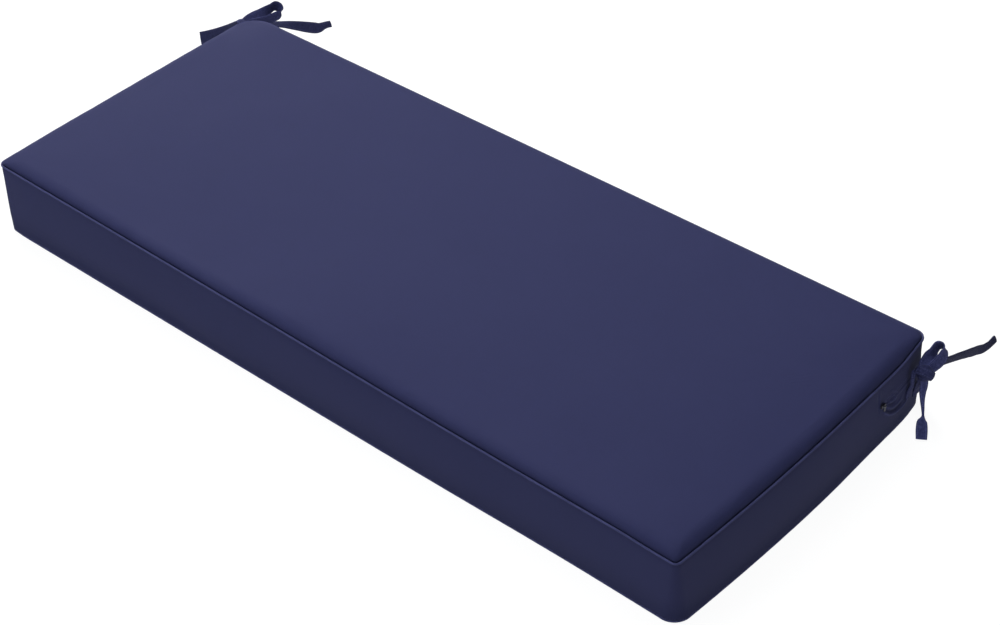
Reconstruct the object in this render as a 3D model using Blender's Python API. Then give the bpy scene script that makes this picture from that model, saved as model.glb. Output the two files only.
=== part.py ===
"""Box bench cushion with self-welted seams, a closure in the back band and a strap tie near each
back corner.  Metres, +Z up.  X runs along the length, Y from the front to the back, and the origin
is the middle of the flat underside."""
import math

import bmesh
import bpy
import numpy as np
from mathutils import Vector

for old in list(bpy.data.objects):
    bpy.data.objects.remove(old, do_unlink=True)

# ---------------------------------------------------------------- driving sizes (metres)
# corner: place of the sharp corner of the seam line, height of the top seam, plan radii
CORNER_COLUMNS = ("name", "x", "y", "seam", "r_top", "r_low")
CORNERS = [dict(zip(CORNER_COLUMNS, row)) for row in (
    ("front_left", -0.5586, -0.2281, 0.1040, 0.011, 0.011),
    ("front_right", 0.5592, -0.2333, 0.0940, 0.0085, 0.0185),
    ("back_right", 0.5586, 0.2331, 0.0962, 0.015, 0.018),
    ("back_left", -0.5592, 0.2283, 0.0970, 0.036, 0.024),
)]
SIDE_STEPS = (14, 12, 14, 8)     # front, right, back, left
ARC_STEPS = 6
BOW_RIGHT = 0.0080               # the right end swells outward at its middle
LEAN_RIGHT = 0.0014              # and stands this much further out at its top seam

WELT_R = 0.0019                  # radius of the welt
WELT_IN = 0.0019                 # its centre, inward of the outline
WELT_LOW_IN = -0.0006            # the bottom welt lies a little further out
WELT_LOW_Z = 0.0023              # height of the bottom welt's centre
NOTCH_R = 0.0024                 # seam groove that the welt lies in

BAND_IN = 0.0004                 # band at its seams, inward of the welt's centre
BAND_SWELL = 0.0016              # outward swell at half height
SHOULDER_W = 0.0165              # rounded shoulder of the top panel, width and height
SHOULDER_H = 0.0080
CROWN_H = 0.0055                 # further rise to the middle
UNDER_IN = 0.022                 # the underside is flat inside this

SLIT_Z = 0.060                   # closure slit in the back band: height, depth, half width
SLIT_DEPTH = 0.0012
SLIT_HALF = 0.0013
SLIT_FRONT_Y = 0.1340            # it runs round the back corners to here

STRAP_W = 0.0160                 # width and thickness of the tie straps
STRAP_T = 0.0018
GAP = 0.0004


# ---------------------------------------------------------------- small helpers
def clamp(v, lo=0.0, hi=1.0):
    return max(lo, min(hi, v))


def ease(t):
    t = clamp(t)
    return t * t * (3.0 - 2.0 * t)


def bump_at(v, centre, width):
    return math.exp(-((v - centre) / width) ** 2)


def material(name, colour, roughness, metallic=0.0):
    mat = bpy.data.materials.new(name)
    mat.use_nodes = True
    shader = mat.node_tree.nodes["Principled BSDF"]
    shader.inputs["Base Color"].default_value = (*colour, 1.0)
    shader.inputs["Roughness"].default_value = roughness
    shader.inputs["Metallic"].default_value = metallic
    return mat


def add_object(name, bm, mat, sharp=math.radians(40)):
    bm.normal_update()
    bmesh.ops.recalc_face_normals(bm, faces=bm.faces[:])
    mesh = bpy.data.meshes.new(name)
    bm.to_mesh(mesh)
    bm.free()
    mesh.shade_smooth()
    mesh.set_sharp_from_angle(angle=sharp)
    mesh.materials.append(mat)
    obj = bpy.data.objects.new(name, mesh)
    bpy.context.scene.collection.objects.link(obj)
    return obj


def loft(bm, rings, closed=False, caps=True):
    """Skin a row of rings that have the same number of points."""
    rows = [[bm.verts.new(p) for p in ring] for ring in rings]
    pairs = list(zip(rows[:-1], rows[1:]))
    if closed:
        pairs.append((rows[-1], rows[0]))
    for a, b in pairs:
        n = len(a)
        for i in range(n):
            j = (i + 1) % n
            bm.faces.new((a[i], a[j], b[j], b[i]))
    if caps and not closed:
        bm.faces.new(rows[0][::-1])
        bm.faces.new(rows[-1])
    return rows


def cross_fill(bm, ring, left, right, end_left, end_right):
    """Close a long ring with cross strips between its front and back runs, and one face at each end."""
    n = len(ring)
    front = [ring[(left + k) % n] for k in range((right - left) % n + 1)]
    back = [ring[(left - k) % n] for k in range((left - right) % n + 1)]
    last = len(front) - 1 - end_right
    bm.faces.new(front[:end_left + 1] + back[1:end_left + 1][::-1])
    for k in range(end_left, last):
        bm.faces.new((front[k], front[k + 1], back[k + 1], back[k]))
    bm.faces.new(front[last:] + back[last:-1][::-1])


# ---------------------------------------------------------------- plan outline
def outline(inset, radius_of, share=1.0):
    """Rounded four-sided outline, moved inward by inset; share is the height up the band."""
    n = len(CORNERS)
    pts = [Vector((c["x"], c["y"])) for c in CORNERS]
    lines = []
    for i in range(n):
        a, b = pts[i], pts[(i + 1) % n]
        d = (b - a).normalized()
        inward = Vector((-d.y, d.x))
        lines.append((a + inward * inset, d))
    sharp = []
    for i in range(n):
        (p, d), (q, e) = lines[i - 1], lines[i]
        cross = d.x * e.y - d.y * e.x
        t = ((q.x - p.x) * e.y - (q.y - p.y) * e.x) / cross
        sharp.append(p + d * t)
    out = []
    arcs = []
    for i in range(n):
        d, e = lines[i - 1][1], lines[i][1]
        turn = math.atan2(d.x * e.y - d.y * e.x, d.dot(e))
        r = radius_of(CORNERS[i])
        start = sharp[i] - d * (r * math.tan(turn / 2))
        centre = start + Vector((-d.y, d.x)) * r
        arm = start - centre
        arc = []
        for k in range(ARC_STEPS + 1):
            a = turn * k / ARC_STEPS
            arc.append(centre + Vector((arm.x * math.cos(a) - arm.y * math.sin(a),
                                        arm.x * math.sin(a) + arm.y * math.cos(a))))
        arcs.append(arc)
    for i in range(n):
        out += arcs[i]
        a, b = arcs[i][-1], arcs[(i + 1) % n][0]
        for k in range(1, SIDE_STEPS[i]):
            out.append(a.lerp(b, k / SIDE_STEPS[i]))
    fade = clamp(1.0 - inset / 0.10)
    low = (1.0 - share) * fade
    bowed = []
    for p in out:
        x, y = p.x, p.y
        if x > 0.5:
            x += BOW_RIGHT * fade * (1.0 - (y / 0.2332) ** 2) * ease((x - 0.5) / 0.04)
        if y < -0.1:
            y += 0.0022 * low * bump_at(x, 0.40, 0.15)
        if x > 0.5:
            x -= 0.0017 * low * bump_at(y, 0.12, 0.07)
        near = 0.0022 * low * max(1.0 - share / 0.22, 0.0) * math.exp(-((x + 0.5586) ** 2 + (y + 0.2281) ** 2) / 0.020 ** 2)
        near -= (0.0055 * low * max(1.0 - share / 0.40, 0.0) ** 1.5
                 * math.exp(-((x - 0.5586) ** 2 + (y - 0.2331) ** 2) / 0.034 ** 2))
        x, y = x + 0.707 * near, y + 0.707 * near
        x += LEAN_RIGHT * share * fade * ease((x - 0.5) / 0.05) * ease((0.228 - y) / 0.06)
        bowed.append(Vector((x, y)))
    return bowed


def seam_height(x, y):
    """Height of the top seam: straight from corner to corner, less its sag."""
    s, t = clamp((x + 0.559) / 1.118), clamp((y + 0.2307) / 0.4614)
    h = [c["seam"] for c in CORNERS]
    return (h[0] * (1 - s) + h[1] * s) * (1 - t) + (h[3] * (1 - s) + h[2] * s) * t - seam_drop(x, y)


def seam_drop(x, y):
    """How far the seam sags under the lines from corner to corner."""
    front = 0.0023 * bump_at(x, 0.24, 0.22) * bump_at(y, -0.232, 0.05)
    right = ease((x - 0.46) / 0.08) * ease((0.228 - y) / 0.05) * (0.0020 + 0.0022 * bump_at(y, 0.160, 0.045))
    return math.hypot(front, right)


def corner_nearness(x, y):
    return max(math.exp(-((x - c["x"]) ** 2 + (y - c["y"]) ** 2) / 0.045 ** 2) for c in CORNERS)


def blend_radius(c, t, inset):
    return max(c["r_low"] * (1 - t) + c["r_top"] * t - inset, 0.003)


# ---------------------------------------------------------------- cushion
def slit_weight(x, y):
    """1 along the back band and round both back corners, 0 elsewhere."""
    return ease((y - SLIT_FRONT_Y) / 0.004)


def band_inset(t):
    base = WELT_LOW_IN * (1.0 - clamp(t)) + WELT_IN * clamp(t)
    return base + BAND_IN - BAND_SWELL * math.sin(math.pi * clamp(t)) ** 0.7


def end_face(side, y, z):
    """Where the band's outer face stands in X at the right (+1) or the left (-1) end."""
    s = clamp((y + 0.2307) / 0.4614)
    front, back = (CORNERS[1], CORNERS[2]) if side > 0 else (CORNERS[0], CORNERS[3])
    low, top = WELT_LOW_Z + NOTCH_R, seam_height(0.56 * side, y) - NOTCH_R
    edge = abs(front["x"]) * (1 - s) + abs(back["x"]) * s - band_inset((z - low) / (top - low))
    if side > 0:
        edge += BOW_RIGHT * (1.0 - (y / 0.2332) ** 2)
    share = (z - low) / (top - low)
    r = back["r_low"] * (1.0 - share) + back["r_top"] * share
    edge -= max(y - (0.2331 - r), 0.0) ** 2 / (2.0 * r)
    return edge * side


def cushion_rings():
    rings = []

    def level(inset, t, height):
        """A ring of the band at height share t between the two seams."""
        ring = []
        for p in outline(inset, lambda c: blend_radius(c, t, inset), t):
            ring.append(Vector((p.x, p.y, height(p.x, p.y))))
        rings.append(ring)

    # underside, from its flat middle to the bottom seam
    level(UNDER_IN, 0.0, lambda x, y: 0.0)
    level(0.012, 0.0, lambda x, y: 0.0003)
    for deg in (-150, -180, -220, -260):
        a = math.radians(deg)
        level(WELT_LOW_IN - NOTCH_R * math.cos(a), 0.0, lambda x, y, a=a: WELT_LOW_Z + NOTCH_R * math.sin(a))
    # band, with the closure slit
    low = WELT_LOW_Z + NOTCH_R

    def band(share, cut=0.0, shift=0.0):
        def z_of(x, y):
            top = seam_height(x, y) - NOTCH_R
            return low + (top - low) * share + shift
        ring = []
        inset = band_inset(share)
        for p in outline(inset, lambda c: blend_radius(c, share, inset), share):
            z = z_of(p.x, p.y)
            if cut:
                centre = Vector((clamp(p.x, -0.53, 0.53), clamp(p.y, -0.20, 0.20)))
                inward = (centre - p).normalized()
                p = p + inward * cut * slit_weight(p.x, p.y)
            ring.append(Vector((p.x, p.y, z)))
        rings.append(ring)

    slit = (SLIT_Z - low) / (0.0965 - NOTCH_R - low)
    band(0.12)
    band(0.27)
    band(slit, 0.0, -SLIT_HALF)
    band(slit, SLIT_DEPTH)
    band(slit, 0.0, SLIT_HALF)
    band(0.66)
    band(0.86)
    # top seam groove
    for deg in (-100, -140, -180, -210):
        a = math.radians(deg)
        level(WELT_IN - NOTCH_R * math.cos(a), 1.0, lambda x, y, a=a: seam_height(x, y) + NOTCH_R * math.sin(a))
    # shoulder and crown of the top panel
    edge_in = WELT_IN - NOTCH_R * math.cos(math.radians(-210))
    edge_up = NOTCH_R * math.sin(math.radians(-210))

    def crown(inset, share):
        ring = []
        for p in outline(inset, lambda c: min(max(c["r_top"] - edge_in, 0.004) + 0.9 * (inset - edge_in),
                                              0.90 * (0.2281 - inset))):
            lift = SHOULDER_H * share * (1.0 - 0.22 * corner_nearness(p.x, p.y))
            lift -= 0.0040 * share * bump_at(p.x, -0.550, 0.035) * bump_at(p.y, 0.195, 0.035)
            rise = CROWN_H * (1.0 - (1.0 - clamp((inset - edge_in) / 0.205)) ** 2)
            ring.append(Vector((p.x, p.y, seam_height(p.x, p.y) + seam_drop(p.x, p.y) * share + edge_up + lift + rise)))
        rings.append(ring)

    for deg in (18, 38, 60, 90):
        a = math.radians(deg)
        crown(edge_in + SHOULDER_W * (1.0 - math.cos(a)), math.sin(a))
    for inset in (0.040, 0.070, 0.110, 0.155, 0.196):
        crown(inset, 1.0)
    return rings


NAVY = (0.052, 0.056, 0.120)
cloth = material("navy_cloth", NAVY, 0.85)
bm = bmesh.new()
rows = loft(bm, cushion_rings(), caps=False)
bm.faces.new(rows[0][::-1])
arc_points = 4 * (ARC_STEPS + 1)
middle_right = 2 * (ARC_STEPS + 1) + (SIDE_STEPS[0] - 1) + (SIDE_STEPS[1] - 2) // 2
middle_left = arc_points + sum(SIDE_STEPS) - 4 - (SIDE_STEPS[3] - 1) + (SIDE_STEPS[3] - 2) // 2
cross_fill(bm, rows[-1], middle_left, middle_right, SIDE_STEPS[3] // 2 + 1, SIDE_STEPS[1] // 2 + 1)
cushion = add_object("cushion", bm, cloth)


# ---------------------------------------------------------------- welts
def welt(name, share, inset, height_of, mat):
    """A thin round lip of cloth that lies in the seam groove, all the way round."""
    path = []
    for p in outline(inset, lambda c: blend_radius(c, share, inset), share):
        path.append(Vector((p.x, p.y, height_of(p.x, p.y))))
    n = len(path)
    rings = []
    for i, p in enumerate(path):
        run = (path[(i + 1) % n] - path[i - 1]).normalized()
        side = run.cross(Vector((0, 0, 1))).normalized()
        up = side.cross(run)
        rings.append([p + side * (WELT_R * math.cos(a)) + up * (WELT_R * math.sin(a))
                      for a in (2 * math.pi * k / 6 for k in range(6))])
    bm = bmesh.new()
    loft(bm, rings, closed=True)
    return add_object(name, bm, mat)


welt("top_welt", 1.0, WELT_IN, seam_height, material("navy_welt_top", (0.060, 0.064, 0.130), 0.8))
welt("bottom_welt", 0.0, WELT_LOW_IN, lambda x, y: WELT_LOW_Z, material("navy_welt_low", (0.045, 0.049, 0.105), 0.8))


# ---------------------------------------------------------------- straps
def spline(rows, steps):
    """Even, smooth reading of a short table of places through its own rows."""
    rows = np.array(rows, dtype=float)
    n = len(rows)
    out = []
    for i in range(n - 1):
        p0, p1, p2, p3 = rows[max(i - 1, 0)], rows[i], rows[i + 1], rows[min(i + 2, n - 1)]
        for k in range(steps):
            t = k / steps
            out.append(0.5 * (2 * p1 + (p2 - p0) * t + (2 * p0 - 5 * p1 + 4 * p2 - p3) * t ** 2
                              + (3 * p1 - p0 - 3 * p2 + p3) * t ** 3))
    out.append(rows[-1])
    return out


STRAP_COLUMNS = ("x", "y", "z", "wide", "thick", "ax", "ay", "az")   # place, width, thickness, across direction


def strap(rows, steps=3):
    """A closed flat strap along a table of places."""
    read = spline(rows, steps)
    centres = [Vector(r[:3]) for r in read]
    n = len(read)
    rings = []
    for i, r in enumerate(read):
        run = (centres[min(i + 1, n - 1)] - centres[max(i - 1, 0)]).normalized()
        across = Vector(r[5:8])
        across = (across - run * across.dot(run)).normalized()
        face = run.cross(across)
        w, t = float(r[3]) / 2, float(r[4]) / 2
        ring = []
        for u, v in ((-w, -t * 0.4), (-w + t * 0.7, -t), (w - t * 0.7, -t), (w, -t * 0.4),
                     (w, t * 0.4), (w - t * 0.7, t), (-w + t * 0.7, t), (-w, t * 0.4)):
            ring.append(centres[i] + across * u + face * v)
        rings.append(ring)
    bm = bmesh.new()
    loft(bm, rings)
    return bm


def ring_band(centre, axis, toward, wide, deep, tall, thick):
    """A closed band round an axis: the wrap of a knot."""
    axis = axis.normalized()
    toward = (toward - axis * toward.dot(axis)).normalized()
    side = axis.cross(toward)
    rings = []
    for k in range(20):
        a = 2 * math.pi * k / 20
        out = toward * math.cos(a) * deep + side * math.sin(a) * wide
        radial = (toward * math.cos(a) / deep + side * math.sin(a) / wide).normalized()
        h = tall * (1.0 + 0.12 * math.cos(a - 0.6))
        ring = []
        for u, v in ((-0.5, -1.0), (0.5, -1.0), (0.5, -0.1), (0.36, 0.25), (0.0, 0.42), (-0.36, 0.25), (-0.5, -0.1)):
            ring.append(centre + out + axis * (u * h) + radial * (v * thick))
        rings.append(ring)
    bm = bmesh.new()
    loft(bm, rings, closed=True)
    return bm


def blob(centre, axis, toward, wide, deep, tall):
    """The packed middle of a knot."""
    axis = axis.normalized()
    toward = (toward - axis * toward.dot(axis)).normalized()
    side = axis.cross(toward)
    bm = bmesh.new()
    bmesh.ops.create_uvsphere(bm, u_segments=12, v_segments=7, radius=1.0)
    for v in bm.verts:
        v.co = centre + side * (v.co.x * wide) + toward * (v.co.y * deep) + axis * (v.co.z * tall)
    return bm


LOOP_COLUMNS = ("along", "left", "away", "w_left", "w_away", "w_along", "wide")   # mm in the knot's own directions
LOOP_R = (
    (2.5, 2.2, 1.0, 0.97, 0.10, 0.00, 11.5), (9.0, 3.6, 3.0, 0.97, 0.10, 0.00, 15.5),
    (15.0, 3.8, 4.6, 0.98, 0.00, 0.00, 16.0), (21.0, 3.8, 5.4, 0.93, -0.32, 0.04, 16.0),
    (26.0, 3.2, 5.8, 0.72, -0.67, 0.14, 16.0), (31.5, 3.4, 6.6, 0.56, -0.80, 0.22, 16.0),
    (36.3, 2.2, 6.6, 0.50, -0.82, 0.27, 16.0), (38.2, -2.2, 6.6, 0.50, -0.82, 0.27, 16.0),
    (36.5, -6.4, 6.6, 0.52, -0.81, 0.27, 16.0), (31.7, -8.4, 6.4, 0.62, -0.75, 0.22, 16.0),
    (26.0, -8.7, 6.0, 0.70, -0.70, 0.14, 16.0), (20.5, -7.8, 5.0, 0.76, -0.64, 0.06, 16.0),
    (15.0, -6.0, 3.4, 0.76, -0.60, 0.00, 15.0), (9.0, -3.6, 1.4, 0.85, -0.45, 0.00, 13.0),
    (2.5, -1.0, 0.0, 0.95, -0.20, 0.00, 10.0))
LOOP_L = (
    (2.0, 2.5, 1.0, 0.95, 0.20, 0.00, 11.0), (11.0, 5.0, 3.0, 0.95, 0.20, 0.00, 14.5),
    (23.0, 6.0, 4.6, 0.96, 0.12, 0.00, 16.0), (34.5, 6.0, 5.4, 0.97, -0.05, 0.00, 16.0),
    (43.5, 7.0, 5.6, 0.90, -0.38, 0.08, 16.0), (51.0, 8.2, 5.4, 0.75, -0.62, 0.20, 16.0),
    (58.6, 9.1, 5.4, 0.70, -0.66, 0.22, 16.0), (63.2, 4.6, 5.4, 0.70, -0.66, 0.22, 16.0),
    (63.4, -1.6, 5.4, 0.70, -0.66, 0.22, 16.0), (58.6, -5.0, 5.4, 0.70, -0.66, 0.22, 16.0),
    (50.2, -5.1, 5.4, 0.70, -0.66, 0.20, 16.0), (42.0, -5.0, 5.4, 0.70, -0.68, 0.12, 16.0),
    (33.0, -4.6, 4.4, 0.76, -0.60, 0.00, 16.0), (22.0, -2.8, 3.0, 0.80, -0.55, 0.00, 16.0),
    (12.0, -1.0, 1.6, 0.88, -0.40, 0.00, 14.0), (3.0, 0.0, 0.0, 0.95, -0.20, 0.00, 10.0))


def loop_rows(knot, axis, view, table):
    """Loop of strap that leaves the knot and comes back to it, from its table in the knot's own directions."""
    left = axis.cross(-view).normalized()
    away = -(view - axis * view.dot(axis)).normalized()
    rows = []
    tip = max(row[0] for row in table)
    for along, to_left, to_away, wl, wa, wx, wide in table:
        p = knot + (axis * along + left * to_left + away * to_away) / 1000.0
        flat = 1.0 - 0.55 * ease((along / tip - 0.60) / 0.30)      # the strap stands square to its bend at the tip
        rows.append((*p, wide / 1000.0, STRAP_T, *(left * (wl * flat) + away * wa + axis * (wx * flat))))
    return rows


def fuse(name, solids, mat):
    """One solid of all the strap's runs, where they meet in the knot."""
    runs = bpy.data.collections.new(name + "_runs")
    bpy.context.scene.collection.children.link(runs)
    base = add_object(name, solids[0], mat)
    for i, bm in enumerate(solids[1:]):
        run = add_object(f"{name}_run_{i + 1}", bm, mat)
        run.hide_render = True
        run.display_type = "WIRE"
        runs.objects.link(run)
    mod = base.modifiers.new("join", "BOOLEAN")
    mod.operation = "UNION"
    mod.solver = "EXACT"
    mod.operand_type = "COLLECTION"
    mod.collection = runs
    return base


LEG_COLUMNS = ("out", "y", "z", "wide", "ax", "ay", "az")     # out: from the face of the band


def leg_rows(side, rows):
    return [(end_face(side, y, z) + side * out, y, z, wide, STRAP_T, side * ax, ay, az)
            for out, y, z, wide, ax, ay, az in rows]


def tie(name, side, knot, axis, toward, legs, long_end, short_end, loop, mat):
    legs = [leg_rows(side, rows) for rows in legs]
    solids = [blob(knot, axis, toward, 0.0098, 0.0078, 0.0103)]
    solids.append(ring_band(knot, axis, toward, 0.0100, 0.0082, 0.0108, 0.0024))
    solids += [strap(rows, 2) for rows in legs]
    solids.append(strap(loop, 3))
    solids.append(strap(long_end, 2))
    solids.append(strap(short_end))
    return fuse(name, solids, mat)


VIEW_R = Vector((0.385, -0.649, 0.656)).normalized()     # the side of each tie that faces out and up
VIEW_L = Vector((0.656, -0.533, 0.534)).normalized()

# right tie
KNOT_R = Vector((0.5745, 0.2030, 0.0670))
AXIS_R = Vector((0.0, 0.801, 0.599)).normalized()
legs_r = [
    [(0.0016, 0.1915, 0.0330, 0.0130, 0.0, 1.0, -0.3), (0.0017, 0.1905, 0.0390, 0.0110, 0.1, 1.0, -0.2),
     (0.0028, 0.1905, 0.0450, 0.0080, 0.3, 0.9, -0.1), (0.0046, 0.1908, 0.0510, 0.0060, 0.5, 0.8, 0.0),
     (0.0056, 0.1906, 0.0590, 0.0052, 0.5, 0.8, 0.1), (0.0056, 0.1916, 0.0660, 0.0056, 0.5, 0.7, 0.3),
     (0.0062, 0.1960, 0.0715, 0.0070, 0.6, 0.5, 0.5), (0.0090, 0.2010, 0.0712, 0.0080, 0.7, 0.3, 0.6)],
    [(0.0016, 0.2080, 0.0260, 0.0150, 0.0, 1.0, 0.3), (0.0019, 0.2080, 0.0320, 0.0140, 0.1, 1.0, 0.2),
     (0.0045, 0.2066, 0.0400, 0.0120, 0.3, 0.9, 0.1), (0.0082, 0.2045, 0.0490, 0.0105, 0.5, 0.8, 0.0),
     (0.0110, 0.2030, 0.0560, 0.0100, 0.6, 0.7, 0.0), (0.0130, 0.2025, 0.0620, 0.0095, 0.6, 0.7, 0.0)],
]
long_r = [
    (0.5745, 0.2070, 0.0685, 0.0110, STRAP_T, 0.20, 0.0, -0.90), (0.5755, 0.2240, 0.0665, 0.0110, STRAP_T, -0.10, 0.0, -0.94),
    (0.5770, 0.2416, 0.0602, 0.0130, STRAP_T, -0.28, 0.0, -0.93), (0.5780, 0.2683, 0.0496, 0.0150, STRAP_T, -0.29, 0.0, -0.92),
    (0.5785, 0.2942, 0.0384, STRAP_W, STRAP_T, -0.26, 0.0, -0.93), (0.5772, 0.3130, 0.0284, STRAP_W, STRAP_T, -0.22, 0.0, -0.94),
    (0.5785, 0.3245, 0.0242, STRAP_W, STRAP_T, -0.16, 0.0, -0.96), (0.5795, 0.3332, 0.0232, 0.0130, STRAP_T, 0.00, 0.0, -0.98),
    (0.5794, 0.3400, 0.0230, 0.0100, 0.0022, 0.20, 0.05, -0.92), (0.5789, 0.3465, 0.0226, 0.0088, 0.0026, 0.35, 0.1, -0.85),
    (0.5782, 0.3510, 0.0220, 0.0082, 0.0026, 0.40, 0.1, -0.82),
]
short_r = [
    (0.5745, 0.2030, 0.0620, 0.0095, 0.0024, 0.75, 0.66, 0.0), (0.5745, 0.2040, 0.0490, 0.0092, 0.0024, 0.75, 0.66, 0.0),
    (0.5748, 0.2018, 0.0400, 0.0082, 0.0024, 0.75, 0.66, 0.0), (0.5770, 0.1990, 0.0300, 0.0056, 0.0026, 0.75, 0.66, 0.0),
    (0.5810, 0.1949, 0.0215, 0.0038, 0.0028, 0.75, 0.66, 0.0), (0.5843, 0.1908, 0.0165, 0.0030, 0.0028, 0.75, 0.66, 0.0),
    (0.5861, 0.1876, 0.0148, 0.0060, 0.0024, 0.75, 0.66, 0.0), (0.5876, 0.1842, 0.0128, 0.0118, STRAP_T, 0.75, 0.66, 0.0),
    (0.5919, 0.1779, 0.0076, 0.0138, STRAP_T, 0.77, 0.64, 0.0), (0.5976, 0.1694, 0.0020, 0.0130, STRAP_T, 0.72, 0.69, 0.0),
]
tie("tie_right", 1, KNOT_R, AXIS_R, VIEW_R, legs_r, long_r, short_r, loop_rows(KNOT_R, AXIS_R, VIEW_R, LOOP_R),
    material("navy_strap_right", (0.050, 0.054, 0.110), 0.85))

# left tie
KNOT_L = Vector((-0.5770, 0.2215, 0.0740))
AXIS_L = Vector((0.25, 0.96, 0.05)).normalized()
legs_l = [
    [(0.0016, 0.2000, 0.0300, 0.0125, 0.0, 1.0, 0.2), (0.0017, 0.2010, 0.0390, 0.0110, 0.0, 1.0, 0.1),
     (0.0050, 0.2060, 0.0490, 0.0100, 0.4, 0.7, 0.1), (0.0110, 0.2130, 0.0590, 0.0100, 0.5, 0.6, 0.1),
     (0.0160, 0.2190, 0.0680, 0.0100, 0.5, 0.6, 0.1)],
    [(0.0016, 0.1840, 0.0340, 0.0125, 0.0, 1.0, -0.2), (0.0017, 0.1860, 0.0430, 0.0110, 0.0, 1.0, -0.1),
     (0.0050, 0.1940, 0.0530, 0.0100, 0.4, 0.7, 0.1), (0.0115, 0.2050, 0.0620, 0.0100, 0.5, 0.6, 0.1),
     (0.0165, 0.2150, 0.0690, 0.0100, 0.5, 0.6, 0.1)],
]
long_l = [
    (-0.5770, 0.2250, 0.0722, 0.0110, STRAP_T, 0.92, 0.0, -0.34), (-0.5750, 0.2400, 0.0690, 0.0120, STRAP_T, 0.93, 0.0, -0.36),
    (-0.5736, 0.2547, 0.0630, 0.0130, STRAP_T, 0.93, 0.0, -0.36), (-0.5698, 0.2841, 0.0490, 0.0130, STRAP_T, 0.90, 0.0, -0.42),
    (-0.5662, 0.3085, 0.0358, 0.0138, STRAP_T, 0.60, 0.0, -0.80), (-0.5619, 0.3253, 0.0264, 0.0155, STRAP_T, 0.42, 0.0, -0.90),
    (-0.5585, 0.3392, 0.0190, STRAP_W, STRAP_T, 0.42, 0.0, -0.90), (-0.5570, 0.3465, 0.0165, 0.0140, STRAP_T, 0.60, 0.0, -0.80),
    (-0.5574, 0.3547, 0.0150, 0.0110, 0.0022, 0.60, 0.0, -0.80), (-0.5579, 0.3622, 0.0130, 0.0100, 0.0026, 0.60, 0.0, -0.80),
    (-0.5582, 0.3695, 0.0104, 0.0098, 0.0026, 0.60, 0.0, -0.80),
]
short_l = [
    (-0.5770, 0.2225, 0.0745, 0.0110, STRAP_T, 0.0, 0.70, 0.60), (-0.5880, 0.2310, 0.0715, 0.0110, STRAP_T, 0.0, 0.65, 0.70),
    (-0.6046, 0.2375, 0.0610, 0.0100, STRAP_T, -0.1, 0.45, 0.85), (-0.6225, 0.2400, 0.0470, 0.0120, STRAP_T, -0.2, 0.35, 0.90),
    (-0.6390, 0.2395, 0.0344, 0.0150, STRAP_T, -0.35, 0.38, 0.85), (-0.6540, 0.2355, 0.0254, STRAP_W, STRAP_T, -0.45, 0.40, 0.79),
    (-0.6700, 0.2305, 0.0170, 0.0172, STRAP_T, -0.49, 0.41, 0.77), (-0.6812, 0.2264, 0.0116, 0.0184, STRAP_T, -0.49, 0.41, 0.77),
]
tie("tie_left", -1, KNOT_L, AXIS_L, VIEW_L, legs_l, long_l, short_l, loop_rows(KNOT_L, AXIS_L, VIEW_L, LOOP_L),
    material("navy_strap_left", (0.050, 0.054, 0.110), 0.85))


# ---------------------------------------------------------------- closure slider and its pull
SLIDER_Y = 0.1345
SLIDER_Z = 0.0605


def block(x0, x1, y0, y1, z0, z1, taper=0.0):
    bm = bmesh.new()
    bmesh.ops.create_cube(bm, size=1.0)
    for v in bm.verts:
        sx, sy, sz = v.co.x + 0.5, v.co.y + 0.5, v.co.z + 0.5
        mid = (z0 + z1) / 2
        z = z0 + (z1 - z0) * sz
        z = mid + (z - mid) * (1.0 - taper * sy)
        v.co = Vector((x0 + (x1 - x0) * sx, y0 + (y1 - y0) * sy, z))
    return bm


face_x = max(end_face(1, SLIDER_Y + dy, SLIDER_Z) for dy in (-0.004, 0.004)) + 0.0005
steel = material("slider_metal", (0.10, 0.10, 0.12), 0.35, 0.8)
bright = material("pull_metal", (0.62, 0.63, 0.66), 0.30, 0.9)

body = add_object("zip_slider", block(face_x, face_x + 0.0022, SLIDER_Y - 0.0038, SLIDER_Y + 0.0038,
                                      SLIDER_Z - 0.0026, SLIDER_Z + 0.0026, 0.35), steel, math.radians(30))
soften = body.modifiers.new("soften", "BEVEL")
soften.width = 0.0005
soften.segments = 2

# low arch on the slider, along the closure, that the pull passes under
arch = []
for k in range(9):
    a = math.pi * k / 8
    arch.append(Vector((face_x + 0.0010 + 0.0033 * math.sin(a) ** 0.6, SLIDER_Y - 0.0022 * math.cos(a), SLIDER_Z)))
rings = []
for i, p in enumerate(arch):
    run = (arch[min(i + 1, 8)] - arch[max(i - 1, 0)]).normalized()
    up = Vector((0, 0, 1))
    out = up.cross(run).normalized()
    rings.append([p + out * (0.00045 * math.cos(b)) + up * (0.00060 * math.sin(b))
                  for b in (2 * math.pi * m / 8 for m in range(8))])
bm = bmesh.new()
loft(bm, rings)
arch_obj = add_object("slider_arch", bm, steel)
arch_obj.hide_render = True
arch_obj.display_type = "WIRE"
mod = body.modifiers.new("arch", "BOOLEAN")
mod.operation = "UNION"
mod.solver = "EXACT"
mod.object = arch_obj

# pull: a head above the arch, a neck under it and a hanging paddle
PULL_COLUMNS = ("drop", "half_width")
PULL = ((0.0034, 0.0019), (0.0014, 0.0019), (0.0012, 0.0010), (-0.0012, 0.0010), (-0.0022, 0.0017),
        (-0.0064, 0.0019), (-0.0072, 0.0012))
right_side = [(SLIDER_Y + w, SLIDER_Z + d) for d, w in PULL]
left_side = [(SLIDER_Y - w, SLIDER_Z + d) for d, w in reversed(PULL)]
bm = bmesh.new()
verts = [bm.verts.new((face_x + 0.0027, y, z)) for y, z in right_side + left_side]
plate = bm.faces.new(verts)
grown = bmesh.ops.extrude_face_region(bm, geom=[plate])
for v in (g for g in grown["geom"] if isinstance(g, bmesh.types.BMVert)):
    v.co.x += 0.0007
add_object("zip_pull", bm, bright, math.radians(30))
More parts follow.
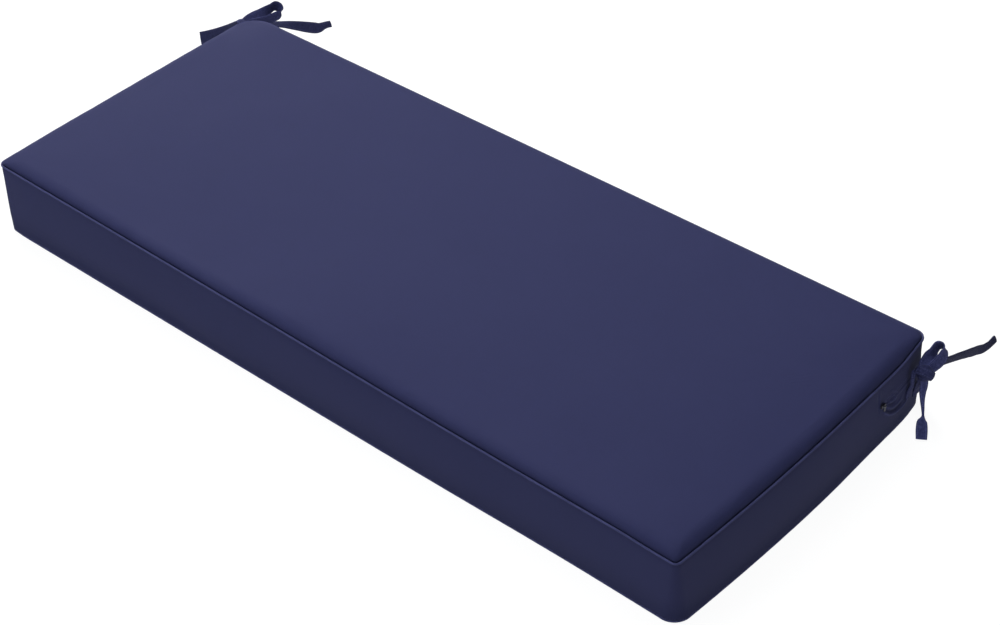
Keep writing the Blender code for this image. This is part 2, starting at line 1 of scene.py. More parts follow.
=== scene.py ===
"""Looks of the box bench cushion: fine cloth shell, welts, knotted strap ties, closure slider, stage."""

import math

import bpy
import numpy as np
from mathutils import Matrix, Vector
from mathutils.kdtree import KDTree


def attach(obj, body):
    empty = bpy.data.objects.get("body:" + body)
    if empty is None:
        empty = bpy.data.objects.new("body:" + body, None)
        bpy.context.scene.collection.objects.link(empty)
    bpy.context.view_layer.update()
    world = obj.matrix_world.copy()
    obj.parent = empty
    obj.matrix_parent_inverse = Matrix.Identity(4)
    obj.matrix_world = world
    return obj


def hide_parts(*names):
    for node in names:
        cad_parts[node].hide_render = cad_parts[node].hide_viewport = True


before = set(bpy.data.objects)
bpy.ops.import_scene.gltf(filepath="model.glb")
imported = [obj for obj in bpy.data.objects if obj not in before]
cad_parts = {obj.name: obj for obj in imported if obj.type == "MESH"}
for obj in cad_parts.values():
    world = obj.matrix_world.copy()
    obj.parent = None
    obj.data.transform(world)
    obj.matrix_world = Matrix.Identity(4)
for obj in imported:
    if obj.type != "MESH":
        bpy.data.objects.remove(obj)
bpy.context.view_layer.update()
scene = bpy.context.scene

# ---------------------------------------------------------------- driving sizes, as in the CAD (metres)
CORNER_COLUMNS = ("name", "x", "y", "seam", "r_top", "r_low")
CORNERS = [dict(zip(CORNER_COLUMNS, row)) for row in (
    ("front_left", -0.5586, -0.2281, 0.1040, 0.011, 0.011),
    ("front_right", 0.5592, -0.2333, 0.0940, 0.0085, 0.0185),
    ("back_right", 0.5586, 0.2331, 0.0962, 0.015, 0.018),
    ("back_left", -0.5592, 0.2283, 0.0970, 0.036, 0.024),
)]
BOW_RIGHT = 0.0080
LEAN_RIGHT = 0.0014               # how much further out the right end stands at its top seam
WELT_R = 0.0019
WELT_IN = 0.0019
WELT_LOW_IN = -0.0006
WELT_LOW_Z = 0.0023
NOTCH_R = 0.0024
TOP_NOTCH = 0.0018               # the seam itself, closer round the thin lip than the CAD groove
LIP_R = 0.0013                   # the top lip as sewn: a little thinner than its CAD welt
BAND_IN = 0.0004
BAND_SWELL = 0.0016
SHOULDER_W = 0.0165
SHOULDER_H = 0.0080
CROWN_H = 0.0055
UNDER_IN = 0.022
SLIT_Z = 0.060
SLIT_DEPTH = 0.0015
SLIT_HALF = 0.0012
SLIT_FRONT_Y = 0.1340
STRAP_W = 0.0160
STRAP_T = 0.0018

SIDE = (200, 144, 200, 80)       # steps along the front, right, back and left
RIGHT_STEPS = np.concatenate([np.linspace(0.0, 0.70, 43)[1:], np.linspace(0.70, 1.0, 103)[1:-1]])
ARC = 16                         # steps round each corner
N = 4 * (ARC + 1) + sum(SIDE) - 4


def ease(t):
    t = np.clip(t, 0.0, 1.0)
    return t * t * (3.0 - 2.0 * t)


def bump_at(v, centre, width):
    return np.exp(-((v - centre) / width) ** 2)


# ---------------------------------------------------------------- plan outline and heights
def outline(inset, radii, share=1.0):
    """Rounded four-sided outline moved inward, N points, as an N x 2 array; share is the height up the band."""
    pts = [np.array((c["x"], c["y"])) for c in CORNERS]
    lines = []
    for i in range(4):
        d = pts[(i + 1) % 4] - pts[i]
        d = d / np.linalg.norm(d)
        lines.append((pts[i] + np.array((-d[1], d[0])) * inset, d))
    arcs = []
    for i in range(4):
        (p, d), (q, e) = lines[i - 1], lines[i]
        cross = d[0] * e[1] - d[1] * e[0]
        sharp = p + d * (((q[0] - p[0]) * e[1] - (q[1] - p[1]) * e[0]) / cross)
        turn = math.atan2(cross, d @ e)
        r = radii[i]
        start = sharp - d * (r * math.tan(turn / 2))
        centre = start + np.array((-d[1], d[0])) * r
        arm = start - centre
        a = turn * np.arange(ARC + 1) / ARC
        arcs.append(centre + np.stack([arm[0] * np.cos(a) - arm[1] * np.sin(a),
                                       arm[0] * np.sin(a) + arm[1] * np.cos(a)], 1))
    out = []
    for i in range(4):
        a, b = arcs[i][-1], arcs[(i + 1) % 4][0]
        k = (RIGHT_STEPS if i == 1 else np.arange(1, SIDE[i]) / SIDE[i])[:, None]
        out += [arcs[i], a * (1 - k) + b * k]
    out = np.concatenate(out)
    fade = min(max(1.0 - inset / 0.10, 0.0), 1.0)
    out[:, 0] += (BOW_RIGHT * fade * (1.0 - (out[:, 1] / 0.2332) ** 2)
                  * ease((out[:, 0] - 0.5) / 0.04) * (out[:, 0] > 0.5))
    low = (1.0 - share) * fade
    out[:, 1] += 0.0022 * low * bump_at(out[:, 0], 0.40, 0.15) * (out[:, 1] < -0.1)
    out[:, 0] -= 0.0017 * low * bump_at(out[:, 1], 0.12, 0.07) * (out[:, 0] > 0.5)
    near = low * max(1.0 - share / 0.22, 0.0) * np.exp(-((out[:, 0] + 0.5586) ** 2 + (out[:, 1] + 0.2281) ** 2) / 0.020 ** 2)
    out += (0.0022 * near)[:, None] * np.array((0.707, 0.707))
    near = low * max(1.0 - share / 0.40, 0.0) ** 1.5 * np.exp(-((out[:, 0] - 0.5586) ** 2 + (out[:, 1] - 0.2331) ** 2) / 0.034 ** 2)
    out -= (0.0055 * near)[:, None] * np.array((0.707, 0.707))
    out[:, 0] += LEAN_RIGHT * share * fade * ease((out[:, 0] - 0.5) / 0.05) * ease((0.228 - out[:, 1]) / 0.06)
    return out


def seam_height(x, y):
    s, t = np.clip((x + 0.559) / 1.118, 0, 1), np.clip((y + 0.2307) / 0.4614, 0, 1)
    h = [c["seam"] for c in CORNERS]
    base = (h[0] * (1 - s) + h[1] * s) * (1 - t) + (h[3] * (1 - s) + h[2] * s) * t
    return base - seam_drop(x, y)


def seam_drop(x, y):
    """How far the seam sags under the lines from corner to corner."""
    front = 0.0023 * bump_at(x, 0.24, 0.22) * bump_at(y, -0.232, 0.05)
    right = ease((x - 0.46) / 0.08) * ease((0.228 - y) / 0.05) * (0.0020 + 0.0022 * bump_at(y, 0.160, 0.045))
    return np.hypot(front, right)


def corner_nearness(x, y):
    return np.max([np.exp(-((x - c["x"]) ** 2 + (y - c["y"]) ** 2) / 0.045 ** 2) for c in CORNERS], axis=0)


def blend_radii(t, inset):
    return [max(c["r_low"] * (1 - t) + c["r_top"] * t - inset, 0.003) for c in CORNERS]


def band_inset(t):
    t = np.clip(t, 0.0, 1.0)
    return WELT_LOW_IN * (1 - t) + WELT_IN * t + BAND_IN - BAND_SWELL * np.sin(np.pi * t) ** 0.7


def foot_flare(t):
    """How much further out the cloth stands just over the bottom lip."""
    return 0.0019 * np.exp(-(np.asarray(t) / 0.075) ** 1.5)


def end_face(side, y, z):
    s = min(max((y + 0.2307) / 0.4614, 0.0), 1.0)
    front, back = (CORNERS[1], CORNERS[2]) if side > 0 else (CORNERS[0], CORNERS[3])
    low, top = WELT_LOW_Z + NOTCH_R, float(seam_height(0.56 * side, y)) - NOTCH_R
    edge = abs(front["x"]) * (1 - s) + abs(back["x"]) * s - float(band_inset((z - low) / (top - low)))
    if side > 0:
        edge += BOW_RIGHT * (1.0 - (y / 0.2332) ** 2)
    r = back["r_low"] * (1.0 - (z - low) / (top - low)) + back["r_top"] * (z - low) / (top - low)
    edge -= max(y - (0.2331 - r), 0.0) ** 2 / (2.0 * r)
    return edge * side


# ---------------------------------------------------------------- seeded waves along the seams
def waves(seed, count, position, length):
    """Smooth seeded values that repeat once round the cushion."""
    values = np.random.RandomState(seed).uniform(-1, 1, count)
    t = position / length * count
    i = np.floor(t).astype(int)
    f = ease(t - i)
    return values[i % count] * (1 - f) + values[(i + 1) % count] * f


# ---------------------------------------------------------------- materials
class Nodes:
    """Short way to write a node tree."""

    def __init__(self, name):
        self.mat = bpy.data.materials.new(name)
        self.mat.use_nodes = True
        self.tree = self.mat.node_tree
        self.shader = self.tree.nodes["Principled BSDF"]

    def node(self, kind, inputs=(), **settings):
        made = self.tree.nodes.new(kind)
        for key, value in settings.items():
            setattr(made, key, value)
        for key, value in dict(inputs).items():
            self.put(made.inputs[key], value)
        return made

    def put(self, socket, value):
        if isinstance(value, bpy.types.NodeSocket):
            self.tree.links.new(value, socket)
        elif value is not None:
            socket.default_value = value

    def math(self, operation, a, b=None, c=None, clamp=False):
        made = self.node("ShaderNodeMath", operation=operation, use_clamp=clamp)
        for socket, value in zip(made.inputs, (a, b, c)):
            self.put(socket, value)
        return made.outputs[0]

    def uv(self, name):
        made = self.node("ShaderNodeSeparateXYZ", {0: self.node("ShaderNodeUVMap", uv_map=name).outputs[0]})
        return made.outputs[0], made.outputs[1]

    def join(self, x, y, z=0.0):
        return self.node("ShaderNodeCombineXYZ", {0: x, 1: y, 2: z}).outputs[0]

    def noise(self, vector, scale, detail=2.0, rough=0.5):
        return self.node("ShaderNodeTexNoise", {"Vector": vector, "Scale": scale, "Detail": detail,
                                                "Roughness": rough}).outputs["Fac"]

    def span(self, value, a, b, low=0.0, high=1.0, smooth=True):
        made = self.node("ShaderNodeMapRange", interpolation_type="SMOOTHSTEP" if smooth else "LINEAR")
        for socket, v in zip(made.inputs, (value, a, b, low, high)):
            self.put(socket, v)
        return made.outputs[0]

    def mix(self, factor, a, b, blend="MIX"):
        made = self.node("ShaderNodeMix", data_type="RGBA", blend_type=blend)
        self.put(made.inputs[0], factor)
        self.put(made.inputs[6], a)
        self.put(made.inputs[7], b)
        return made.outputs[2]

    def band(self, value, centre, half, soft):
        """1 within half of centre, with soft edges."""
        far = self.math("ABSOLUTE", self.math("SUBTRACT", value, centre))
        return self.span(far, half, half + soft, 1.0, 0.0)

    def set(self, **sockets):
        for key, value in sockets.items():
            self.put(self.shader.inputs[key.replace("_", " ")], value)


def weave(n, u, v, pitch):
    """Height of a plain weave, about 0 to 1, with threads that differ a little from each other."""
    wander = n.noise(n.join(u, v), 60.0, 2.0)
    uu = n.math("MULTIPLY_ADD", wander, 0.9, n.math("MULTIPLY", u, math.pi / pitch))
    vv = n.math("MULTIPLY_ADD", wander, 0.9, n.math("MULTIPLY", v, math.pi / pitch))
    product = n.math("MULTIPLY", n.math("SINE", uu), n.math("SINE", vv))
    return n.math("MULTIPLY_ADD", product, 0.30, n.math("ABSOLUTE", product))


def slubs(n, u, v):
    """Long faint streaks along both thread directions, about 0.5 at the middle."""
    along = n.noise(n.join(n.math("MULTIPLY", u, 24.0), n.math("MULTIPLY", v, 900.0)), 1.0, 2.0)
    across = n.noise(n.join(n.math("MULTIPLY", u, 900.0), n.math("MULTIPLY", v, 24.0)), 1.0, 2.0)
    return n.math("MULTIPLY", n.math("ADD", along, across), 0.5)


BASE = (0.0262, 0.0289, 0.0815)


def shade(colour, k, grey=0.0):
    return tuple(c * k + grey for c in colour) + (1.0,)


def finish_cloth(n, colour, height, rough, sheen=0.02, bump=0.25, distance=0.0004, spec=0.04):
    shader = n.shader
    n.put(shader.inputs["Base Color"], colour)
    n.put(shader.inputs["Roughness"], rough)
    shader.inputs["Sheen Weight"].default_value = sheen
    shader.inputs["Sheen Roughness"].default_value = 0.45
    shader.inputs["Sheen Tint"].default_value = (0.80, 0.82, 0.95, 1.0)
    shader.inputs["Specular IOR Level"].default_value = spec
    made = n.node("ShaderNodeBump", {"Strength": bump, "Distance": distance, "Height": height})
    n.put(shader.inputs["Normal"], made.outputs[0])


def cushion_cloth():
    n = Nodes("cushion_weave")
    u, v = n.uv("cloth")
    top, low = n.uv("seam")
    height = weave(n, u, v, 0.00075)
    streak = slubs(n, u, v)
    mottle = n.noise(n.join(u, v), 9.0, 3.0, 0.55)
    colour = n.mix(n.span(streak, 0.30, 0.70, smooth=False), shade(BASE, 0.90), shade(BASE, 1.10))
    colour = n.mix(n.span(mottle, 0.25, 0.75, 0.0, 0.10), colour, shade(BASE, 1.25, 0.006))
    # painted shade in the hollows of the weave
    weave_hollow_shade = n.span(height, 0.0, 0.45, 0.0, 1.0)
    colour = n.mix(n.math("SUBTRACT", 1.0, weave_hollow_shade), colour, shade(BASE, 0.72))
    # small rubbed patches beside the seams are lighter
    patch = n.noise(n.join(u, v), 45.0, 3.0, 0.6)
    near = n.math("MULTIPLY", n.span(n.math("MINIMUM", top, low), 0.001, 0.007, 1.0, 0.0), n.span(patch, 0.50, 0.80))
    colour = n.mix(n.math("MULTIPLY", near, 0.10), colour, shade(BASE, 1.5, 0.010))
    # painted shade: the cloth is painted darker within about 9 mm of the top seam, where it turns down into the seam
    colour = n.mix(n.span(top, 0.0005, 0.0095, 0.22, 0.0), colour, shade(BASE, 0.20))
    # painted shade: the lower part of the band is painted a little darker, towards the floor
    band_foot_shade = n.span(low, 0.0, 0.045, 0.20, 0.0)
    colour = n.mix(band_foot_shade, colour, shade(BASE, 0.10))
    # painted highlight along the ridges of the closure's puckers and painted shade in the dips between them
    pucker = n.uv("pucker")[0]
    colour = n.mix(n.span(pucker, 0.35, 1.7, 0.0, 0.42), colour, shade(BASE, 2.0, 0.012))
    colour = n.mix(n.span(pucker, -0.2, -1.3, 0.0, 0.45), colour, shade(BASE, 0.35))
    # rows of stitches along the closure
    slit, along = n.uv("slit")
    row = n.math("MAXIMUM", n.band(slit, 0.0050, 0.00028, 0.0002), n.band(slit, -0.0050, 0.00028, 0.0002))
    dash = n.band(n.math("FRACT", n.math("MULTIPLY", along, 1 / 0.0030)), 0.5, 0.34, 0.06)
    stitch = n.math("MULTIPLY", row, dash)
    colour = n.mix(n.math("MULTIPLY", stitch, 0.75), colour, shade(BASE, 1.6, 0.010))
    height = n.math("MULTIPLY_ADD", stitch, 1.2, height)
    height = n.math("MULTIPLY_ADD", n.noise(n.join(u, v), 260.0, 2.0), 0.35, height)
    finish_cloth(n, colour, height, n.span(streak, 0.3, 0.7, 0.70, 0.80, smooth=False))
    return n.mat


def welt_cloth():
    n = Nodes("welt_weave")
    u, v = n.uv("cloth")
    a = n.math("ADD", u, v)
    b = n.math("SUBTRACT", u, v)
    height = weave(n, a, b, 0.00060)
    streak = n.noise(n.join(n.math("MULTIPLY", u, 60.0), n.math("MULTIPLY", v, 400.0)), 1.0, 2.0)
    # painted highlight: the welt cloth is painted 1.35 to 1.8 times lighter than the cushion cloth, for the lit edge of
    # the lip
    colour = n.mix(n.span(streak, 0.3, 0.7, smooth=False), shade(BASE, 1.35, 0.006), shade(BASE, 1.80, 0.014))
    colour = n.mix(n.math("MULTIPLY", n.span(n.noise(n.join(u, v), 90.0, 3.0, 0.6), 0.5, 0.8), 0.25), colour,
                   shade(BASE, 1.7, 0.018))
    # painted shade in the hollows of the weave
    colour = n.mix(n.span(height, 0.0, 0.4, 0.45, 0.0), colour, shade(BASE, 0.7))
    finish_cloth(n, colour, height, n.span(streak, 0.3, 0.7, 0.66, 0.78, smooth=False), sheen=0.03)
    return n.mat


def strap_cloth():
    n = Nodes("strap_weave")
    u, v = n.uv("cloth")
    edge, along = n.uv("seam")
    height = weave(n, u, v, 0.00060)
    streak = slubs(n, u, v)
    blotch = n.noise(n.join(u, v), 300.0, 3.0, 0.65)
    colour = n.mix(n.span(streak, 0.3, 0.7, smooth=False), shade(BASE, 0.95), shade(BASE, 1.40, 0.003))
    colour = n.mix(n.span(blotch, 0.50, 0.62, 0.0, 0.50), colour, shade(BASE, 0.50))
    colour = n.mix(n.span(blotch, 0.46, 0.36, 0.0, 0.40), colour, shade(BASE, 2.0, 0.008))
    # painted shade in the hollows of the weave
    colour = n.mix(n.span(height, 0.0, 0.45, 0.9, 0.0), colour, shade(BASE, 0.66))
    rub = n.math("MULTIPLY", n.span(edge, 0.0, 0.0012, 1.0, 0.0), n.span(n.noise(n.join(u, v), 120.0, 3.0), 0.4, 0.7))
    colour = n.mix(n.math("MULTIPLY", rub, 0.30), colour, shade(BASE, 1.6, 0.016))
    row = n.band(edge, 0.0019, 0.00026, 0.0002)
    dash = n.band(n.math("FRACT", n.math("MULTIPLY", along, 1 / 0.0026)), 0.5, 0.33, 0.06)
    stitch = n.math("MULTIPLY", row, dash)
    colour = n.mix(n.math("MULTIPLY", stitch, 0.8), colour, shade(BASE, 1.7, 0.014))
    height = n.math("MULTIPLY_ADD", stitch, 1.3, height)
    # painted light and shade: each run of strap is painted lighter or darker as a whole, for how the light falls on it
    colour = n.node("ShaderNodeVectorMath", {0: colour, "Scale": n.uv("wear")[0]}, operation="SCALE").outputs[0]
    finish_cloth(n, colour, height, n.span(streak, 0.3, 0.7, 0.68, 0.82, smooth=False), sheen=0.03, bump=0.30)
    return n.mat


def metal(name, colour, dark, rough):
    n = Nodes(name)
    at = n.node("ShaderNodeTexCoord").outputs["Object"]
    brush = n.node("ShaderNodeTexNoise", {"Vector": n.node("ShaderNodeMapping", {
        "Vector": at, "Scale": (900.0, 4200.0, 700.0)}).outputs[0], "Scale": 1.0, "Detail": 3.0}).outputs["Fac"]
    worn = n.noise(at, 1500.0, 4.0, 0.6)
    n.put(n.shader.inputs["Base Color"], n.mix(n.span(worn, 0.35, 0.65), (*dark, 1.0), (*colour, 1.0)))
    n.put(n.shader.inputs["Roughness"], n.span(brush, 0.3, 0.7, rough - 0.08, rough + 0.12))
    n.shader.inputs["Metallic"].default_value = 1.0
    made = n.node("ShaderNodeBump", {"Strength": 0.15, "Distance": 0.00005, "Height": brush})
    n.put(n.shader.inputs["Normal"], made.outputs[0])
    return n.mat


# ---------------------------------------------------------------- mesh making
def make(name, verts, faces, mat, maps):
    """A smooth mesh object.  maps: UV map name -> one (u, v) for each face corner."""
    mesh = bpy.data.meshes.new(name)
    mesh.from_pydata([tuple(p) for p in verts], [], faces)
    for key, values in maps.items():
        layer = mesh.uv_layers.new(name=key)
        layer.data.foreach_set("uv", np.asarray(values, dtype=np.float32).ravel())
    mesh.validate()
    mesh.shade_smooth()
    mesh.materials.append(mat)
    obj = bpy.data.objects.new(name, mesh)
    scene.collection.objects.link(obj)
    return obj


# ---------------------------------------------------------------- cushion shell
# the puckers beside the closure's end: one row per crease, its own (y, z) places, height (- is a dent), half width
CREASES = (
    (0.0021, 0.0018, ((0.1338, 0.0536), (0.1412, 0.0439), (0.1501, 0.0352), (0.1639, 0.0279), (0.1773, 0.0261), (0.1902, 0.0283), (0.1959, 0.0342))),
    (-0.0016, 0.0018, ((0.1359, 0.0559), (0.1431, 0.0461), (0.1514, 0.0381), (0.1627, 0.0331), (0.1735, 0.0329), (0.1841, 0.0351))),
    (0.0014, 0.0016, ((0.1400, 0.0567), (0.1472, 0.0472), (0.1552, 0.0418), (0.1651, 0.0399), (0.1735, 0.0414), (0.1806, 0.0454))),
    (-0.0012, 0.0016, ((0.1430, 0.0591), (0.1489, 0.0509), (0.1568, 0.0467), (0.1643, 0.0466))),
    (0.0012, 0.0014, ((0.1460, 0.0606), (0.1508, 0.0542), (0.1586, 0.0503), (0.1638, 0.0516), (0.1588, 0.0589), (0.1522, 0.0622))),
    (0.0009, 0.0016, ((0.1485, 0.0701), (0.1562, 0.0664), (0.1641, 0.0600), (0.1712, 0.0523))),
)


def crease_height(y, z):
    """Height of the puckers over the right end, for arrays of places."""
    total = np.zeros_like(y)
    for height, half, places in CREASES:
        pts = np.array(places)
        best = np.full(y.shape, 1e9)
        taper = np.zeros(y.shape)
        run = 0.0
        whole = sum(np.linalg.norm(pts[i + 1] - pts[i]) for i in range(len(pts) - 1))
        for i in range(len(pts) - 1):
            d = pts[i + 1] - pts[i]
            length = np.linalg.norm(d)
            t = np.clip(((y - pts[i, 0]) * d[0] + (z - pts[i, 1]) * d[1]) / length ** 2, 0, 1)
            far = np.hypot(y - pts[i, 0] - d[0] * t, z - pts[i, 1] - d[1] * t)
            better = far < best
            best = np.where(better, far, best)
            share = (run + t * length) / whole
            taper = np.where(better, ease(share / 0.2) * ease((1 - share) / 0.2) * 0.8 + 0.2, taper)
            run += length
        total += height * taper * np.exp(-(best / half) ** 2)
    return total


def shell_rings():
    """All rings of the cushion: a list of (points N x 3, kind, share)."""
    rings = []
    place = lambda xy, z: np.column_stack([xy, np.broadcast_to(z, len(xy))])

    def level(inset, t, height, kind):
        xy = outline(inset, blend_radii(t, inset), t)
        rings.append((place(xy, height(xy[:, 0], xy[:, 1])), kind, t))

    for inset in (0.222, 0.205, 0.170, 0.130, 0.095, 0.065, 0.042, UNDER_IN):
        level_radii = [min(max(c["r_low"], 0.004) + 0.9 * max(inset - UNDER_IN, 0.0), 0.90 * (0.2281 - inset))
                       for c in CORNERS]
        if inset == UNDER_IN:
            level_radii = blend_radii(0.0, UNDER_IN)
        xy = outline(inset, level_radii, 0.0)
        rings.append((place(xy, 0.0), "under", 0.0))
    for inset, z in ((0.0175, 0.0), (0.0130, 0.0001), (0.0085, 0.0003), (0.0045, 0.0005)):
        level(inset, 0.0, lambda x, y, z=z: z, "under")
    for deg in (-150, -165, -180, -200, -220, -240, -260, -280, -298):
        a = math.radians(deg)
        level(WELT_LOW_IN - NOTCH_R * math.cos(a), 0.0, lambda x, y, a=a: WELT_LOW_Z + NOTCH_R * math.sin(a), "low_groove")
    low = WELT_LOW_Z + NOTCH_R * 0.90
    slit = (SLIT_Z - low) / (0.0965 - NOTCH_R - low)
    near = [slit + k * 0.0007 / 0.0894 for k in range(-7, 8)]
    shares = ([0.010, 0.022, 0.036, 0.052, 0.072, 0.095] + list(np.arange(0.112, near[0] - 0.008, 0.0145)) + near
              + list(np.arange(near[-1] + 0.0145, 0.80, 0.0145)) + list(np.arange(0.83, 0.90, 0.03))
              + [0.925, 0.952, 0.975, 0.990])
    for share in shares:
        inset = float(band_inset(share) - foot_flare(share))
        xy = outline(inset, blend_radii(share, inset), share)
        top = seam_height(xy[:, 0], xy[:, 1]) - TOP_NOTCH
        rings.append((place(xy, low + (top - low) * share), "band", share))
    for deg in (-100, -120, -140, -160, -180, -195, -210):
        a = math.radians(deg)
        level(WELT_IN - TOP_NOTCH * math.cos(a), 1.0, lambda x, y, a=a: seam_height(x, y) + TOP_NOTCH * math.sin(a), "top_groove")
    edge_in = WELT_IN - TOP_NOTCH * math.cos(math.radians(-210))
    edge_up = TOP_NOTCH * math.sin(math.radians(-210))

    def crown(inset, share):
        xy = outline(inset, [min(max(c["r_top"] - edge_in, 0.004) + 0.9 * (inset - edge_in), 0.90 * (0.2281 - inset))
                             for c in CORNERS])
        x, y = xy[:, 0], xy[:, 1]
        lift = SHOULDER_H * share * (1.0 - 0.22 * corner_nearness(x, y))
        lift -= 0.0040 * share * bump_at(x, -0.550, 0.035) * bump_at(y, 0.195, 0.035)
        dx = np.minimum(0.559 - edge_in - np.abs(x), 0.205)
        dy = np.minimum(0.2307 - edge_in - np.abs(y), 0.205)
        full = lambda d: 1.0 - (1.0 - np.clip(d / 0.205, 0, 1)) ** 2
        rise = CROWN_H * (0.45 * full(dx) * full(dy) + 0.55 * float(full(inset - edge_in)))
        rings.append((place(xy, seam_height(x, y) + seam_drop(x, y) * share + edge_up + lift + rise), "top", share))

    for deg in (6, 12, 18, 24, 31, 38, 45, 52, 60, 68, 76, 84, 90):
        a = math.radians(deg)
        crown(edge_in + SHOULDER_W * (1.0 - math.cos(a)), math.sin(a))
    for inset in (0.026, 0.032, 0.039, 0.047, 0.056, 0.066, 0.077, 0.089, 0.102, 0.116, 0.131, 0.146,
                  0.161, 0.175, 0.188, 0.199, 0.208, 0.216, 0.222):
        crown(inset, 1.0)
    return rings


rings = shell_rings()
P = np.array([r[0] for r in rings])                    # rings x N x 3
kinds = [r[1] for r in rings]
R = len(rings)


def grid_normals(P):
    along = np.roll(P, -1, axis=1) - np.roll(P, 1, axis=1)
    across = np.empty_like(P)
    across[1:-1] = P[2:] - P[:-2]
    across[0], across[-1] = P[1] - P[0], P[-1] - P[-2]
    n = np.cross(along, across)
    return n / np.maximum(np.linalg.norm(n, axis=2, keepdims=True), 1e-12)


# length along the outline, and across it from ring to ring
base = outline(0.0, blend_radii(1.0, 0.0))
steps = np.linalg.norm(np.roll(base, -1, axis=0) - base, axis=1)
S = np.concatenate([[0.0], np.cumsum(steps)])          # N + 1 values
LENGTH = S[-1]
travel = np.concatenate([np.zeros((1, N)), np.cumsum(np.linalg.norm(np.diff(P, axis=0), axis=2), axis=0)])
top_ring = len(kinds) - 1 - kinds[::-1].index("top_groove") - 2
low_ring = kinds.index("low_groove") + 2
from_top = np.abs(travel - travel[top_ring])
from_low = np.abs(travel - travel[low_ring])

X, Y, Z = P[:, :, 0], P[:, :, 1], P[:, :, 2]
normals = grid_normals(P)
s = np.broadcast_to(S[:-1], X.shape)
lift = np.zeros_like(X)
is_band = np.array([k == "band" for k in kinds])[:, None]
is_top = np.array([k == "top" for k in kinds])[:, None]

# closure: a groove along the back band and round its corners, a short way along both ends
slit_share = ease((Y - SLIT_FRONT_Y) / 0.004) * is_band
dz = Z - (WELT_LOW_Z + NOTCH_R + (seam_height(X, Y) - 2 * NOTCH_R - WELT_LOW_Z)
          * ((SLIT_Z - WELT_LOW_Z - NOTCH_R) / (0.0965 - 2 * NOTCH_R - WELT_LOW_Z)))
groove = np.clip(1.0 - (dz / (SLIT_HALF * 1.5)) ** 2, 0, 1)
lips = np.exp(-((np.abs(dz) - 0.0032) / 0.0018) ** 2)
slit_deep = slit_share * (1.0 - 0.72 * ease((X - 0.535) / 0.02))
lift += slit_deep * (-SLIT_DEPTH * groove ** 0.7 + 0.0004 * lips
                      - 0.00022 * np.exp(-((np.abs(dz) - 0.0050) / 0.0007) ** 2))

# small puckers that the seams draw in the cloth beside them
pull_top = waves(11, 352, s, LENGTH) * np.exp(-from_top / 0.0070) + 0.6 * waves(12, 170, s, LENGTH) * np.exp(-from_top / 0.016)
pull_low = waves(13, 352, s, LENGTH) * np.exp(-from_low / 0.0080) + 0.6 * waves(14, 170, s, LENGTH) * np.exp(-from_low / 0.018)
open_cloth = is_band | is_top
lift += open_cloth * 0.00030 * (pull_top * ease(from_top / 0.0025)) * ease((from_top + 0.002) / 0.003)
lift += is_band * 0.00020 * pull_low * ease(from_low / 0.0025)

# slow unevenness of the stuffed faces
slow = np.zeros_like(X)
rng = np.random.RandomState(5)
for k in range(14):
    ax, ay, az = rng.uniform(4, 17, 3) * rng.choice([-1, 1], 3)
    slow += np.sin(ax * X + ay * Y + 2 * az * Z + rng.uniform(0, 2 * math.pi))
lift += (is_top * ease(from_top / 0.03) * 0.00016 + is_band * 0.00012 * ease(np.minimum(from_top, from_low) / 0.02)) * slow

# the closure's end on the right: seam across the band, gathered cloth, creases
right_end = ease((X - 0.540) / 0.006) * is_band
seam_y = 0.1255 + 0.09 * (0.0864 - Z)
lift += (right_end * (-0.00050 * bump_at(Y, seam_y, 0.0014) + 0.00035 * bump_at(Y, seam_y + 0.0028, 0.0016))
         * ease((Z - 0.046) / 0.008) * ease((0.089 - Z) / 0.010))
pucker = right_end * crease_height(Y, Z)
lift += 0.85 * pucker
lift += right_end * 0.0010 * np.exp(-((Y - 0.170) / 0.026) ** 2 - ((Z - 0.044) / 0.015) ** 2)



